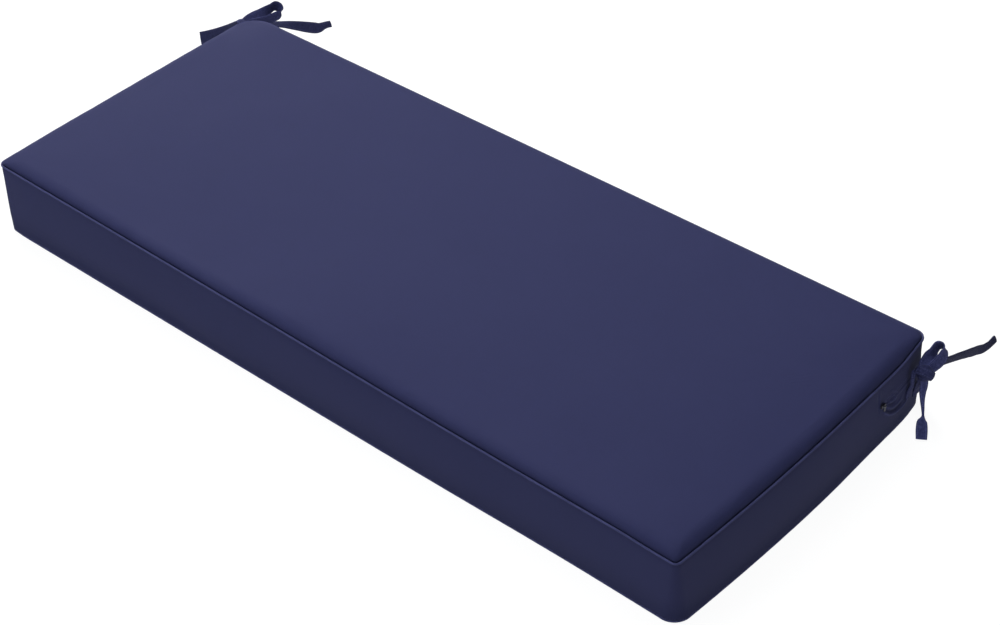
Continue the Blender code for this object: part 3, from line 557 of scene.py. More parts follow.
def filled_out(P, normals):
    """How far the filling pushes the cloth in or out of its even form.  A coarse copy, a little smaller, is held at
    its seams and blown up as cloth; what it gains along the normal, less the mean of its panel, is read back."""
    flat = (P - normals * (0.003 * open_cloth)[:, :, None]).reshape(-1, 3)
    faces = [(r * N + i, r * N + (i + 1) % N, (r + 1) * N + (i + 1) % N, (r + 1) * N + i) for r in range(R - 1) for i in range(N)]
    faces += [tuple(range(N))[::-1], tuple((R - 1) * N + i for i in range(N))]
    rough = bpy.data.meshes.new("rough")
    rough.from_pydata(flat.tolist(), [], faces)
    holder = bpy.data.objects.new("rough", rough)
    scene.collection.objects.link(holder)
    remesh = holder.modifiers.new("voxels", "REMESH")
    remesh.mode, remesh.voxel_size = "VOXEL", 0.0085
    depsgraph = bpy.context.evaluated_depsgraph_get()
    even = bpy.data.meshes.new_from_object(holder.evaluated_get(depsgraph), depsgraph=depsgraph)
    bpy.data.objects.remove(holder)
    bpy.data.meshes.remove(rough)
    start = np.empty(len(even.vertices) * 3)
    even.vertices.foreach_get("co", start)
    start = start.reshape(-1, 3)
    cloth = bpy.data.objects.new("filling", even)
    scene.collection.objects.link(cloth)
    # held along both seams and under the cushion
    tree = KDTree(len(flat) // 4)
    picked = np.arange(0, len(flat) // 4 * 4, 4)
    for k, q in enumerate(picked):
        tree.insert(flat[q], k)
    tree.balance()
    top_far, low_far = from_top.reshape(-1), from_low.reshape(-1)
    under = np.repeat(np.array([kind in ("under", "low_groove") for kind in kinds]), N)
    held = []
    for v, place in enumerate(start):
        q = picked[tree.find(place)[1]]
        if top_far[q] < 0.006 or low_far[q] < 0.008 or under[q]:
            held.append(v)
    group = cloth.vertex_groups.new(name="held")
    group.add(held, 1.0, "REPLACE")
    blow = cloth.modifiers.new("blow", "CLOTH")
    blow.settings.quality = 5
    blow.settings.use_pressure = True
    blow.settings.uniform_pressure_force = 4.0
    blow.settings.vertex_group_mass = "held"
    blow.settings.effector_weights.gravity = 0.0
    blow.point_cache.frame_start, blow.point_cache.frame_end = 1, 20
    for number in range(1, 21):
        scene.frame_set(number)
    depsgraph = bpy.context.evaluated_depsgraph_get()
    shaped = cloth.evaluated_get(depsgraph).to_mesh()
    end = np.empty(len(start) * 3)
    shaped.vertices.foreach_get("co", end)
    moved = end.reshape(-1, 3) - start
    cloth.evaluated_get(depsgraph).to_mesh_clear()
    bpy.data.objects.remove(cloth)
    bpy.data.meshes.remove(even)
    scene.frame_set(1)
    far = np.linalg.norm(moved, axis=1, keepdims=True)
    moved *= np.minimum(1.0, 0.012 / np.maximum(far, 1e-9))
    tree = KDTree(len(start))
    for k, place in enumerate(start):
        tree.insert(place, k)
    tree.balance()
    gain = np.zeros((R, N))
    grid = flat.reshape(R, N, 3)
    for r in range(R):
        if kinds[r] not in ("band", "top"):
            continue
        for i in range(0, N, 2):
            near = tree.find_n(grid[r, i], 8)
            w = np.array([1.0 / (d + 0.003) for _, _, d in near])
            gain[r, i] = (w @ (moved[[k for _, k, _ in near]] @ normals[r, i])) / w.sum()
        gain[r, 1::2] = 0.5 * (gain[r, 0::2] + np.roll(gain[r, 0::2], -1))
    for kind in ("band", "top"):
        rows = [r for r in range(R) if kinds[r] == kind]
        part = gain[rows]
        part = (part + np.roll(part, 1, 1) + np.roll(part, -1, 1)) / 3.0
        part = part - part.mean(axis=1, keepdims=True)
        gain[rows] = part
    return FILL_SHARE * np.clip(gain, -0.004, 0.004) * ease(np.minimum(from_top, from_low) / 0.02)


FILL_SHARE = 0.5                 # how much of the blown-up form's unevenness the firm foam lets show
lift += filled_out(P, normals) * open_cloth

P = P + normals * lift[:, :, None]
P[:, :, 2] = np.maximum(P[:, :, 2], 0.0)


def shell_object(P):
    faces, cloth_uv, seam_uv, slit_uv, pucker_uv = [], [], [], [], []
    flat_top = [k in ("top", "under") for k in kinds]
    order = np.arange(N)
    nxt = (order + 1) % N
    for r in range(R - 1):
        for i in range(N):
            j = nxt[i]
            faces.append((r * N + i, r * N + j, (r + 1) * N + j, (r + 1) * N + i))
        if flat_top[r] and flat_top[r + 1]:
            a, b = P[r, :, :2], P[r + 1, :, :2]
            c = np.stack([a, a[nxt], b[nxt], b], 1)
        else:
            za, zb = travel[r], travel[r + 1]
            c = np.stack([np.column_stack([S[:-1], za]), np.column_stack([S[1:], za[nxt]]),
                          np.column_stack([S[1:], zb[nxt]]), np.column_stack([S[:-1], zb])], 1)
        cloth_uv.append(c.reshape(-1, 2))
        e = lambda q, idx: np.column_stack([from_top[q][idx], from_low[q][idx]])
        seam_uv.append(np.stack([e(r, order), e(r, nxt), e(r + 1, nxt), e(r + 1, order)], 1).reshape(-1, 2))
        g = lambda q, idx, run: np.column_stack([np.where(slit_share[q][idx] > 0.9, dz[q][idx], 1.0), run])
        slit_uv.append(np.stack([g(r, order, S[:-1]), g(r, nxt, S[1:]), g(r + 1, nxt, S[1:]), g(r + 1, order, S[:-1])],
                                1).reshape(-1, 2))
        h = lambda q, idx: np.column_stack([pucker[q][idx] * 1000.0, np.zeros(N)])
        pucker_uv.append(np.stack([h(r, order), h(r, nxt), h(r + 1, nxt), h(r + 1, order)], 1).reshape(-1, 2))
    cloth_uv, seam_uv, slit_uv, pucker_uv = [list(np.concatenate(v)) for v in (cloth_uv, seam_uv, slit_uv, pucker_uv)]
    right = 2 * (ARC + 1) + (SIDE[0] - 1) + (SIDE[1] - 2) // 2
    left = 4 * (ARC + 1) + sum(SIDE) - 4 - (SIDE[3] - 1) + (SIDE[3] - 2) // 2
    flat = P.reshape(-1, 3)

    def cap(r, up):
        front = [r * N + (left + k) % N for k in range((right - left) % N + 1)]
        back = [r * N + (left - k) % N for k in range((left - right) % N + 1)]
        el, er = SIDE[3] // 2 + 1, SIDE[1] // 2 + 1
        last = len(front) - 1 - er
        polys = [front[:el + 1] + back[1:el + 1][::-1]]
        polys += [[front[k], front[k + 1], back[k + 1], back[k]] for k in range(el, last)]
        polys.append(front[last:] + back[last:-1][::-1])
        for poly in polys:
            poly = poly if up else poly[::-1]
            faces.append(tuple(poly))
            for q in poly:
                cloth_uv.append(flat[q, :2])
                seam_uv.append((0.2, 0.2))
                slit_uv.append((1.0, 0.0))
                pucker_uv.append((0.0, 0.0))

    cap(R - 1, True)
    cap(0, False)
    return make("cushion_shell", flat, faces, cushion_cloth(), {"cloth": cloth_uv, "seam": seam_uv, "slit": slit_uv, "pucker": pucker_uv})


cushion = shell_object(P)
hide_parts("cushion")
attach(cushion, "root")


# ---------------------------------------------------------------- welts
def welt(name, share, inset, height_of, radius_mm, mat):
    xy = outline(inset, blend_radii(share, inset), share)
    tuck = share * np.exp(-((xy[:, 0] + 0.5586) ** 2 + (xy[:, 1] + 0.2281) ** 2) / 0.014 ** 2)
    xy = xy + (0.0010 * tuck)[:, None] * np.array((0.707, 0.707))
    path = np.column_stack([xy, np.broadcast_to(height_of(xy[:, 0], xy[:, 1]), len(xy))])
    run = np.roll(path, -1, axis=0) - np.roll(path, 1, axis=0)
    run /= np.linalg.norm(run, axis=1, keepdims=True)
    side = np.cross(run, (0, 0, 1.0))
    side /= np.linalg.norm(side, axis=1, keepdims=True)
    up = np.cross(side, run)
    M = 12
    wob = 1.0 + 0.035 * waves(21, 600, S[:-1], LENGTH)
    verts, faces, uv, seam = [], [], [], []
    for k in range(M):
        a = 2 * math.pi * k / M
        verts.append(path + (side * math.cos(a) + up * math.sin(a)) * (radius_mm * wob)[:, None])
    V = np.stack(verts, 1).reshape(-1, 3)
    for i in range(N):
        j = (i + 1) % N
        for k in range(M):
            m = (k + 1) % M
            faces.append((i * M + k, j * M + k, j * M + m, i * M + m))
            v0, v1 = 2 * math.pi * radius_mm * k / M, 2 * math.pi * radius_mm * (k + 1) / M
            uv += [(S[i], v0), (S[i + 1], v0), (S[i + 1], v1), (S[i], v1)]
    return make(name, V, [f[::-1] for f in faces], mat,
                {"cloth": np.array(uv).reshape(-1, 4, 2)[:, ::-1].reshape(-1, 2)})


welt_mat = welt_cloth()
for name, node, share, inset, height_of in (
        ("top_lip", "top_welt", 1.0, WELT_IN - 0.0002, lambda x, y: seam_height(x, y) - 0.0004),
        ("bottom_lip", "bottom_welt", 0.0, WELT_LOW_IN, lambda x, y: WELT_LOW_Z)):
    lip = welt(name, share, inset, height_of, LIP_R if share else WELT_R, welt_mat)
    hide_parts(node)
    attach(lip, "root")


# ---------------------------------------------------------------- strap ties
def spline(rows, spacing):
    """Even, smooth reading of a table of places through its own rows, about one spacing apart."""
    rows = np.array(rows, dtype=float)
    n = len(rows)
    fine = []
    for i in range(n - 1):
        p0, p1, p2, p3 = rows[max(i - 1, 0)], rows[i], rows[i + 1], rows[min(i + 2, n - 1)]
        for t in np.arange(24) / 24:
            fine.append(0.5 * (2 * p1 + (p2 - p0) * t + (2 * p0 - 5 * p1 + 4 * p2 - p3) * t ** 2
                               + (3 * p1 - p0 - 3 * p2 + p3) * t ** 3))
    fine.append(rows[-1])
    fine = np.array(fine)
    run = np.concatenate([[0.0], np.cumsum(np.linalg.norm(np.diff(fine[:, :3], axis=0), axis=1))])
    count = max(int(round(run[-1] / spacing)), 4)
    at = np.linspace(0, run[-1], count + 1)
    return np.stack([np.interp(at, run, fine[:, k]) for k in range(fine.shape[1])], 1), at


SECTION = (-1.0, -0.97, -0.90, -0.80, -0.72, -0.64, -0.45, -0.22, 0.0, 0.22, 0.45, 0.64, 0.72, 0.80, 0.90, 0.97, 1.0)


class Cloths:
    """Gathers the runs of one tie into one mesh."""

    def __init__(self):
        self.verts, self.faces, self.uv, self.edge, self.wear, self.length = [], [], [], [], [], 0.0

    def strap(self, rows, spacing=0.0011, cup=0.0, seed=1, counts=True, closed=False, wear=1.0):
        before = len(self.uv)
        read, at = spline(rows, spacing)
        c = read[:, :3]
        if closed:
            run = np.roll(c[:-1], -1, axis=0) - np.roll(c[:-1], 1, axis=0)
            read, at, c = read[:-1], at, c[:-1]
        else:
            run = np.gradient(c, axis=0)
        run /= np.linalg.norm(run, axis=1, keepdims=True)
        across = read[:, 5:8] - run * np.sum(read[:, 5:8] * run, axis=1, keepdims=True)
        across /= np.linalg.norm(across, axis=1, keepdims=True)
        face = np.cross(run, across)
        wide, thick = read[:, 3:4] / 2, read[:, 4:5] / 2
        n = len(c)
        rng = np.random.RandomState(seed)
        knots = max(n // 7, 3)
        ripple = np.interp(np.arange(n), np.linspace(0, n - 1, knots), rng.uniform(-1, 1, knots))
        ends = np.minimum(ease(np.arange(n) / 3), ease((n - 1 - np.arange(n)) / 3)) if not closed else np.ones(n)
        upper, lower = [], []
        for q in SECTION:
            hem = 1.0 + 0.10 * math.exp(-((abs(q) - 0.90) / 0.06) ** 2) - 0.22 * math.exp(-((abs(q) - 0.74) / 0.05) ** 2)
            rim = math.sqrt(max(1.0 - max((abs(q) - 0.90) / 0.10, 0.0) ** 2, 0.0))
            h = thick[:, 0] * hem * (0.25 + 0.75 * rim)
            bend = cup * (q * q - 0.4) + 0.00016 * ripple * math.copysign(abs(q) ** 2, q) * ends
            mid = c + across * (wide * q) + face * np.reshape(bend, (-1, 1)) * np.ones((n, 1))
            upper.append(mid + face * h[:, None])
            lower.append(mid - face * h[:, None])
        ring = upper + lower[::-1]
        across_at = [q for q in SECTION] + [q for q in SECTION[::-1]]
        M = len(ring)
        V = np.stack(ring, 1)
        start = sum(len(v) for v in self.verts)
        self.verts.append(V.reshape(-1, 3))
        if counts:
            self.length += at[-1]
        total = n if closed else n - 1
        for i in range(total):
            j = (i + 1) % n
            a0, a1 = at[i], at[i + 1] if i + 1 < len(at) else at[-1]
            for k in range(M):
                m = (k + 1) % M
                self.faces.append((start + i * M + k, start + i * M + m, start + j * M + m, start + j * M + k))
                w0, w1 = float(wide[i, 0]), float(wide[j, 0])
                self.uv += [(across_at[k] * w0, a0), (across_at[m] * w0, a0), (across_at[m] * w1, a1), (across_at[k] * w1, a1)]
                self.edge += [((1 - abs(across_at[k])) * w0, a0), ((1 - abs(across_at[m])) * w0, a0),
                              ((1 - abs(across_at[m])) * w1, a1), ((1 - abs(across_at[k])) * w1, a1)]
        if not closed:
            half = M // 2
            for first, i in ((True, 0), (False, n - 1)):
                for k in range(half - 1):
                    quad = (start + i * M + k, start + i * M + k + 1, start + i * M + M - 2 - k, start + i * M + M - 1 - k)
                    self.faces.append(quad if not first else quad[::-1])
                    self.uv += [(across_at[k] * float(wide[i, 0]), at[i])] * 4
                    self.edge += [(0.0005, at[i])] * 4
        self.wear += [(wear, 0.0)] * (len(self.uv) - before)

    def lump(self, centre, axis, toward, wide, deep, tall, seed=3):
        """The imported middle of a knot: an uneven ball with folds round its axis."""
        axis = axis / np.linalg.norm(axis)
        toward = toward - axis * (toward @ axis)
        toward /= np.linalg.norm(toward)
        side = np.cross(axis, toward)
        U, Vn = 40, 20
        start = sum(len(v) for v in self.verts)
        verts = [centre - axis * tall]
        for i in range(1, Vn):
            b = math.pi * i / Vn - math.pi / 2
            for k in range(U):
                a = 2 * math.pi * k / U
                r = 1.0 + 0.045 * math.sin(3 * a + 2.2 * b + seed) + 0.03 * math.sin(5 * a - 3.1 * b)
                verts.append(centre + side * (wide * r * math.cos(b) * math.cos(a)) + toward * (deep * r * math.cos(b) * math.sin(a))
                             + axis * (tall * math.sin(b)))
        verts.append(centre + axis * tall)
        self.verts.append(np.array(verts))
        last = start + len(verts) - 1
        ring = lambda i, k: start + 1 + (i - 1) * U + k % U
        add = lambda f, pts: (self.faces.append(f), self.uv.extend(pts), self.edge.extend([(0.004, p[1]) for p in pts]))
        for k in range(U):
            u0, u1 = 0.05 * k / U, 0.05 * (k + 1) / U
            add((start, ring(1, k + 1), ring(1, k)), [(u0, 0.0), (u1, 0.001), (u0, 0.001)])
            for i in range(1, Vn - 1):
                add((ring(i, k), ring(i, k + 1), ring(i + 1, k + 1), ring(i + 1, k)),
                    [(u0, 0.001 * i), (u1, 0.001 * i), (u1, 0.001 * i + 0.001), (u0, 0.001 * i + 0.001)])
            add((ring(Vn - 1, k), ring(Vn - 1, k + 1), last), [(u0, 0.02), (u1, 0.02), (u0, 0.021)])
        self.wear += [(1.0, 0.0)] * (len(self.uv) - len(self.wear))

    def object(self, name, mat):
        return make(name, np.concatenate(self.verts), self.faces, mat, {"cloth": self.uv, "seam": self.edge, "wear": self.wear})


LOOP_COLUMNS = ("along", "left", "away", "w_left", "w_away", "w_along", "wide")   # mm in the knot's own directions
LOOP_R = (
    (2.5, 2.2, 1.0, 0.97, 0.10, 0.00, 11.5), (9.0, 3.6, 3.0, 0.97, 0.10, 0.00, 15.5),
    (15.0, 3.8, 4.6, 0.98, 0.00, 0.00, 16.0), (21.0, 3.8, 5.4, 0.93, -0.32, 0.04, 16.0),
    (26.0, 3.2, 5.8, 0.72, -0.67, 0.14, 16.0), (31.5, 3.4, 6.6, 0.56, -0.80, 0.22, 16.0),
    (36.3, 2.2, 6.6, 0.50, -0.82, 0.27, 16.0), (38.2, -2.2, 6.6, 0.50, -0.82, 0.27, 16.0),
    (36.5, -6.4, 6.6, 0.52, -0.81, 0.27, 16.0), (31.7, -8.4, 6.4, 0.62, -0.75, 0.22, 16.0),
    (26.0, -8.7, 6.0, 0.70, -0.70, 0.14, 16.0), (20.5, -7.8, 5.0, 0.76, -0.64, 0.06, 16.0),
    (15.0, -6.0, 3.4, 0.76, -0.60, 0.00, 15.0), (9.0, -3.6, 1.4, 0.85, -0.45, 0.00, 13.0),
    (2.5, -1.0, 0.0, 0.95, -0.20, 0.00, 10.0))
LOOP_L = (
    (2.0, 2.5, 1.0, 0.95, 0.20, 0.00, 11.0), (11.0, 5.0, 3.0, 0.95, 0.20, 0.00, 14.5),
    (23.0, 6.0, 4.6, 0.96, 0.12, 0.00, 16.0), (34.5, 6.0, 5.4, 0.97, -0.05, 0.00, 16.0),
    (43.5, 7.0, 5.6, 0.90, -0.38, 0.08, 16.0), (51.0, 8.2, 5.4, 0.75, -0.62, 0.20, 16.0),
    (58.6, 9.1, 5.4, 0.70, -0.66, 0.22, 16.0), (63.2, 4.6, 5.4, 0.70, -0.66, 0.22, 16.0),
    (63.4, -1.6, 5.4, 0.70, -0.66, 0.22, 16.0), (58.6, -5.0, 5.4, 0.70, -0.66, 0.22, 16.0),
    (50.2, -5.1, 5.4, 0.70, -0.66, 0.20, 16.0), (42.0, -5.0, 5.4, 0.70, -0.68, 0.12, 16.0),
    (33.0, -4.6, 4.4, 0.76, -0.60, 0.00, 16.0), (22.0, -2.8, 3.0, 0.80, -0.55, 0.00, 16.0),
    (12.0, -1.0, 1.6, 0.88, -0.40, 0.00, 14.0), (3.0, 0.0, 0.0, 0.95, -0.20, 0.00, 10.0))


def unit(v):
    v = np.array(v, dtype=float)
    return v / np.linalg.norm(v)


def loop_rows(knot, axis, view, table):
    """Loop of strap that leaves the knot and comes back to it, from its table in the knot's own directions."""
    left = unit(np.cross(axis, -view))
    away = -unit(view - axis * (view @ axis))
    rows = []
    for along, to_left, to_away, wl, wa, wx, wide in table:
        p = knot + (axis * along + left * to_left + away * to_away) / 1000.0
        rows.append((*p, wide / 1000.0, STRAP_T, *(left * wl + away * wa + axis * wx)))
    return rows


def leg_rows(side, rows):
    return [(end_face(side, y, z) + side * out, y, z, wide, STRAP_T, side * ax, ay, az)
            for out, y, z, wide, ax, ay, az in rows]


def wrap_rows(centre, axis, toward, wide, deep, width, tilt, turn=0.0):
    """A closed band of strap round the knot, its plane tilted by tilt about the side direction."""
    axis = unit(axis)
    toward = unit(toward - axis * (toward @ axis))
    side = np.cross(axis, toward)
    rows = []
    for k in range(25):
        a = 2 * math.pi * k / 24 + turn
        out = toward * math.cos(a) * deep + side * math.sin(a) * wide
        slope = axis * (tilt * math.sin(a))
        rows.append((*(centre + out + slope), width, STRAP_T, *unit(axis - side * 0.0)))
    return rows


VIEW_R = unit((0.385, -0.649, 0.656))      # the side of each tie that faces out and up
VIEW_L = unit((0.656, -0.533, 0.534))

KNOT_R = np.array((0.5745, 0.2030, 0.0670))
AXIS_R = unit((0.0, 0.801, 0.599))
legs_r = [
    [(0.0016, 0.1915, 0.0330, 0.0130, 0.0, 1.0, -0.3), (0.0017, 0.1905, 0.0390, 0.0110, 0.1, 1.0, -0.2),
     (0.0028, 0.1905, 0.0450, 0.0080, 0.3, 0.9, -0.1), (0.0046, 0.1908, 0.0510, 0.0060, 0.5, 0.8, 0.0),
     (0.0056, 0.1906, 0.0590, 0.0052, 0.5, 0.8, 0.1), (0.0056, 0.1916, 0.0660, 0.0056, 0.5, 0.7, 0.3),
     (0.0062, 0.1960, 0.0715, 0.0070, 0.6, 0.5, 0.5), (0.0090, 0.2010, 0.0712, 0.0080, 0.7, 0.3, 0.6)],
    [(0.0016, 0.2080, 0.0260, 0.0150, 0.0, 1.0, 0.3), (0.0019, 0.2080, 0.0320, 0.0140, 0.1, 1.0, 0.2),
     (0.0045, 0.2066, 0.0400, 0.0120, 0.3, 0.9, 0.1), (0.0082, 0.2045, 0.0490, 0.0105, 0.5, 0.8, 0.0),
     (0.0110, 0.2030, 0.0560, 0.0100, 0.6, 0.7, 0.0), (0.0130, 0.2025, 0.0620, 0.0095, 0.6, 0.7, 0.0)],
]
long_r = [
    (0.5745, 0.2070, 0.0685, 0.0110, STRAP_T, 0.20, 0.0, -0.90), (0.5755, 0.2240, 0.0665, 0.0110, STRAP_T, -0.10, 0.0, -0.94),
    (0.5770, 0.2416, 0.0602, 0.0130, STRAP_T, -0.28, 0.0, -0.93), (0.5780, 0.2683, 0.0496, 0.0150, STRAP_T, -0.29, 0.0, -0.92),
    (0.5785, 0.2942, 0.0384, STRAP_W, STRAP_T, -0.26, 0.0, -0.93), (0.5772, 0.3130, 0.0284, STRAP_W, STRAP_T, -0.22, 0.0, -0.94),
    (0.5785, 0.3245, 0.0242, STRAP_W, STRAP_T, -0.16, 0.0, -0.96), (0.5795, 0.3332, 0.0232, 0.0130, STRAP_T, 0.00, 0.0, -0.98),
    (0.5794, 0.3400, 0.0230, 0.0100, 0.0022, 0.20, 0.05, -0.92), (0.5789, 0.3465, 0.0226, 0.0088, 0.0026, 0.35, 0.1, -0.85),
    (0.5782, 0.3510, 0.0220, 0.0082, 0.0026, 0.40, 0.1, -0.82),
]
short_r = [
    (0.5745, 0.2030, 0.0620, 0.0095, 0.0024, 0.75, 0.66, 0.0), (0.5745, 0.2040, 0.0490, 0.0092, 0.0024, 0.75, 0.66, 0.0),
    (0.5748, 0.2018, 0.0400, 0.0082, 0.0024, 0.75, 0.66, 0.0), (0.5770, 0.1990, 0.0300, 0.0056, 0.0026, 0.75, 0.66, 0.0),
    (0.5810, 0.1949, 0.0215, 0.0038, 0.0028, 0.75, 0.66, 0.0), (0.5843, 0.1908, 0.0165, 0.0030, 0.0028, 0.75, 0.66, 0.0),
    (0.5861, 0.1876, 0.0148, 0.0060, 0.0024, 0.75, 0.66, 0.0), (0.5876, 0.1842, 0.0128, 0.0118, STRAP_T, 0.75, 0.66, 0.0),
    (0.5919, 0.1779, 0.0076, 0.0138, STRAP_T, 0.77, 0.64, 0.0), (0.5976, 0.1694, 0.0020, 0.0130, STRAP_T, 0.72, 0.69, 0.0),
]
KNOT_L = np.array((-0.5770, 0.2215, 0.0740))
AXIS_L = unit((0.25, 0.96, 0.05))
legs_l = [
    [(0.0016, 0.2000, 0.0300, 0.0125, 0.0, 1.0, 0.2), (0.0017, 0.2010, 0.0390, 0.0110, 0.0, 1.0, 0.1),
     (0.0050, 0.2060, 0.0490, 0.0100, 0.4, 0.7, 0.1), (0.0110, 0.2130, 0.0590, 0.0100, 0.5, 0.6, 0.1),
     (0.0160, 0.2190, 0.0680, 0.0100, 0.5, 0.6, 0.1)],
    [(0.0016, 0.1840, 0.0340, 0.0125, 0.0, 1.0, -0.2), (0.0017, 0.1860, 0.0430, 0.0110, 0.0, 1.0, -0.1),
     (0.0050, 0.1940, 0.0530, 0.0100, 0.4, 0.7, 0.1), (0.0115, 0.2050, 0.0620, 0.0100, 0.5, 0.6, 0.1),
     (0.0165, 0.2150, 0.0690, 0.0100, 0.5, 0.6, 0.1)],
]
long_l = [
    (-0.5770, 0.2250, 0.0722, 0.0110, STRAP_T, 0.92, 0.0, -0.34), (-0.5750, 0.2400, 0.0690, 0.0120, STRAP_T, 0.93, 0.0, -0.36),
    (-0.5736, 0.2547, 0.0630, 0.0130, STRAP_T, 0.93, 0.0, -0.36), (-0.5698, 0.2841, 0.0490, 0.0130, STRAP_T, 0.90, 0.0, -0.42),
    (-0.5662, 0.3085, 0.0358, 0.0138, STRAP_T, 0.60, 0.0, -0.80), (-0.5619, 0.3253, 0.0264, 0.0155, STRAP_T, 0.42, 0.0, -0.90),
    (-0.5585, 0.3392, 0.0190, STRAP_W, STRAP_T, 0.42, 0.0, -0.90), (-0.5570, 0.3465, 0.0165, 0.0140, STRAP_T, 0.60, 0.0, -0.80),
    (-0.5574, 0.3547, 0.0150, 0.0110, 0.0022, 0.60, 0.0, -0.80), (-0.5579, 0.3622, 0.0130, 0.0100, 0.0026, 0.60, 0.0, -0.80),
    (-0.5582, 0.3695, 0.0104, 0.0098, 0.0026, 0.60, 0.0, -0.80),
]
short_l = [
    (-0.5770, 0.2225, 0.0745, 0.0110, STRAP_T, 0.0, 0.70, 0.60), (-0.5880, 0.2310, 0.0715, 0.0110, STRAP_T, 0.0, 0.65, 0.70),
    (-0.6046, 0.2375, 0.0610, 0.0100, STRAP_T, -0.1, 0.45, 0.85), (-0.6225, 0.2400, 0.0470, 0.0120, STRAP_T, -0.2, 0.35, 0.90),
    (-0.6390, 0.2395, 0.0344, 0.0150, STRAP_T, -0.35, 0.38, 0.85), (-0.6540, 0.2355, 0.0254, STRAP_W, STRAP_T, -0.45, 0.40, 0.79),
    (-0.6700, 0.2305, 0.0170, 0.0172, STRAP_T, -0.49, 0.41, 0.77), (-0.6812, 0.2264, 0.0116, 0.0184, STRAP_T, -0.49, 0.41, 0.77),
]
strap_mat = strap_cloth()


def tie(name, node, side, knot, axis, view, legs, long_end, short_end, table, wear, seed):
    cloths = Cloths()
    cloths.lump(knot, axis, view, 0.0096, 0.0076, 0.0100, seed)
    for i, rows in enumerate(legs):
        cloths.strap(leg_rows(side, rows), cup=0.0004, seed=seed + i)
    cloths.strap(loop_rows(knot, axis, view, table), cup=0.0004, seed=seed + 3, wear=wear[0])
    cloths.strap(long_end, cup=0.0005, seed=seed + 4, wear=wear[1])
    cloths.strap(short_end, cup=0.0003, seed=seed + 5, wear=wear[2])
    cloths.strap(wrap_rows(knot, axis, view, 0.0104, 0.0086, 0.0108, 0.0010), cup=-0.0012, seed=seed + 6, closed=True)
    made = cloths.object(name, strap_mat)
    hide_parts(node)
    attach(made, "root")
    return made


# painted light and shade: the three numbers after the loop table scale the loop, long end and short end lighter or
# darker
tie("right_tie_strap", "tie_right", 1, KNOT_R, AXIS_R, VIEW_R, legs_r, long_r, short_r, LOOP_R, (1.60, 0.58, 1.9), 31)
tie("left_tie_strap", "tie_left", -1, KNOT_L, AXIS_L, VIEW_L, legs_l, long_l, short_l, LOOP_L, (1.25, 0.85, 0.68), 41)

# ---------------------------------------------------------------- closure hardware keeps its CAD shape
for node, mat in (("zip_slider", metal("slider_steel", (0.11, 0.11, 0.13), (0.06, 0.06, 0.07), 0.34)),
                  ("zip_pull", metal("pull_steel", (0.060, 0.062, 0.080), (0.03, 0.03, 0.04), 0.36))):
    for slot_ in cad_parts[node].material_slots:
        slot_.material = mat

# ---------------------------------------------------------------- stage, light and camera
floor_mat = Nodes("stage_paper")
paper = floor_mat.noise(floor_mat.node("ShaderNodeTexCoord").outputs["Object"], 900.0, 3.0)
floor_mat.put(floor_mat.shader.inputs["Base Color"],
              floor_mat.mix(floor_mat.span(paper, 0.3, 0.7), (0.125, 0.125, 0.125, 1), (0.135, 0.135, 0.135, 1)))
floor_mat.shader.inputs["Roughness"].default_value = 1.0
floor_mat.shader.inputs["Specular IOR Level"].default_value = 0.0
floor_mat.shader.inputs["Emission Color"].default_value = (1.0, 1.0, 1.0, 1.0)
floor_mat.shader.inputs["Emission Strength"].default_value = 0.92
h = 12.0
floor_mesh = bpy.data.meshes.new("stage_floor")
floor_mesh.from_pydata([(-h, -h, -0.0003), (h, -h, -0.0003), (h, h, -0.0003), (-h, h, -0.0003)], [], [(0, 1, 2, 3)])
floor_mesh.materials.append(floor_mat.mat)
floor = bpy.data.objects.new("stage_floor", floor_mesh)
scene.collection.objects.link(floor)

# a pale wall all round, seen behind the cushion from low down; it throws no light of its own
wall_mat = Nodes("stage_wall")
wall_mat.shader.inputs["Base Color"].default_value = (0.0, 0.0, 0.0, 1.0)
wall_mat.shader.inputs["Roughness"].default_value = 1.0
wall_mat.shader.inputs["Specular IOR Level"].default_value = 0.0
wall_mat.shader.inputs["Emission Color"].default_value = (1.0, 1.0, 1.0, 1.0)
wall_mat.shader.inputs["Emission Strength"].default_value = 0.92
wall_ring = [(11.6 * math.cos(2 * math.pi * k / 64), 11.6 * math.sin(2 * math.pi * k / 64)) for k in range(64)]
wall_mesh = bpy.data.meshes.new("stage_wall")
wall_mesh.from_pydata([(x, y, z) for z in (-0.0002, 9.0) for x, y in wall_ring], [],
                      [((k + 1) % 64, k, 64 + k, 64 + (k + 1) % 64) for k in range(64)])
wall_mesh.materials.append(wall_mat.mat)
wall = bpy.data.objects.new("stage_wall", wall_mesh)
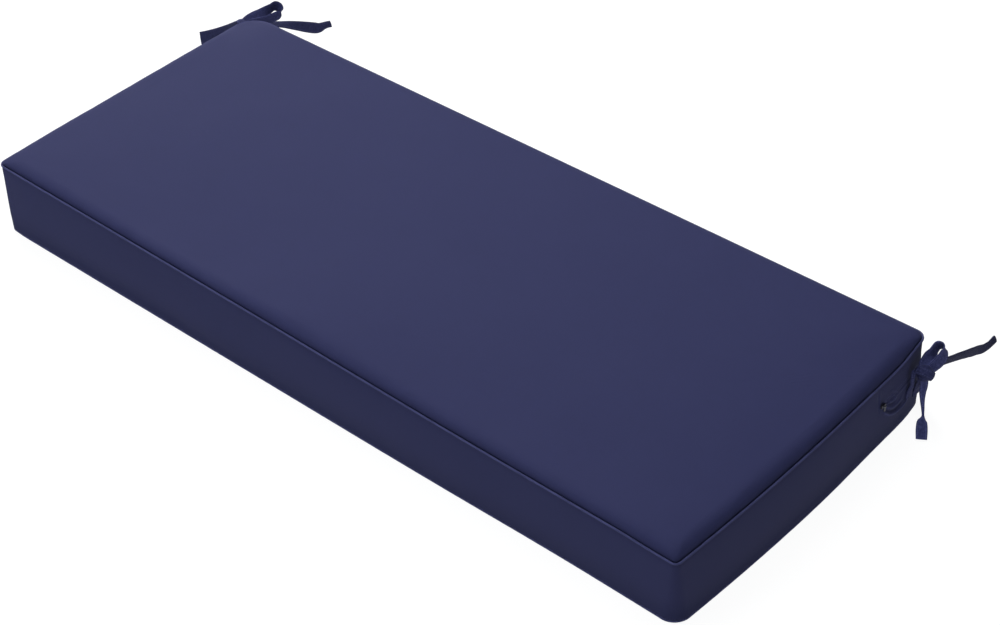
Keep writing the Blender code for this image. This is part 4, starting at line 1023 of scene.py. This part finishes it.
scene.collection.objects.link(wall)
wall.visible_diffuse = wall.visible_glossy = wall.visible_transmission = wall.visible_shadow = False

world = bpy.data.worlds.new("studio")
world.use_nodes = True
world.node_tree.nodes["Background"].inputs[0].default_value = (1.0, 1.0, 1.0, 1.0)
world.node_tree.nodes["Background"].inputs[1].default_value = 0.08
scene.world = world


def area_light(name, place, target, size, power, colour=(1, 1, 1)):
    data = bpy.data.lights.new(name, "AREA")
    data.shape = "RECTANGLE"
    data.size, data.size_y = size
    data.energy = power
    data.color = colour
    obj = bpy.data.objects.new(name, data)
    obj.location = place
    obj.rotation_euler = (Vector(target) - Vector(place)).to_track_quat("-Z", "Y").to_euler()
    scene.collection.objects.link(obj)
    return obj


area_light("key_low", (-3.2, 1.8, 2.2), (0.0, 0.0, 0.05), (1.5, 1.5), 185.0)
area_light("key_top", (-0.30, 0.25, 1.80), (-0.20, 0.12, 0.05), (1.5, 1.0), 21.0)
area_light("fill_top", (0.95, -0.70, 2.20), (0.2, 0.0, 0.05), (1.2, 1.2), 19.0, (0.88, 0.95, 1.0))
area_light("front_fill", (-1.2, -2.4, 1.0), (0.0, -0.2, 0.05), (1.6, 1.2), 26.0, (0.86, 0.92, 1.0))

camera_data = bpy.data.cameras.new("camera")
camera_data.sensor_fit = "HORIZONTAL"
camera_data.sensor_width = 36.0
camera_data.lens = 84.7625
camera_data.clip_start, camera_data.clip_end = 0.05, 60.0
camera = bpy.data.objects.new("camera", camera_data)
right_of = Vector((0.745341, 0.664749, -0.050752))
down_of = Vector((0.396024, -0.502704, -0.768410))
ahead = Vector((-0.536313, 0.552628, -0.637942))
camera.matrix_world = Matrix((
    (right_of.x, -down_of.x, -ahead.x, 1.62665),
    (right_of.y, -down_of.y, -ahead.y, -1.56861),
    (right_of.z, -down_of.z, -ahead.z, 1.85849),
    (0.0, 0.0, 0.0, 1.0)))
scene.collection.objects.link(camera)
scene.camera = camera
scene.view_settings.view_transform = "Standard"
scene.view_settings.look = "None"
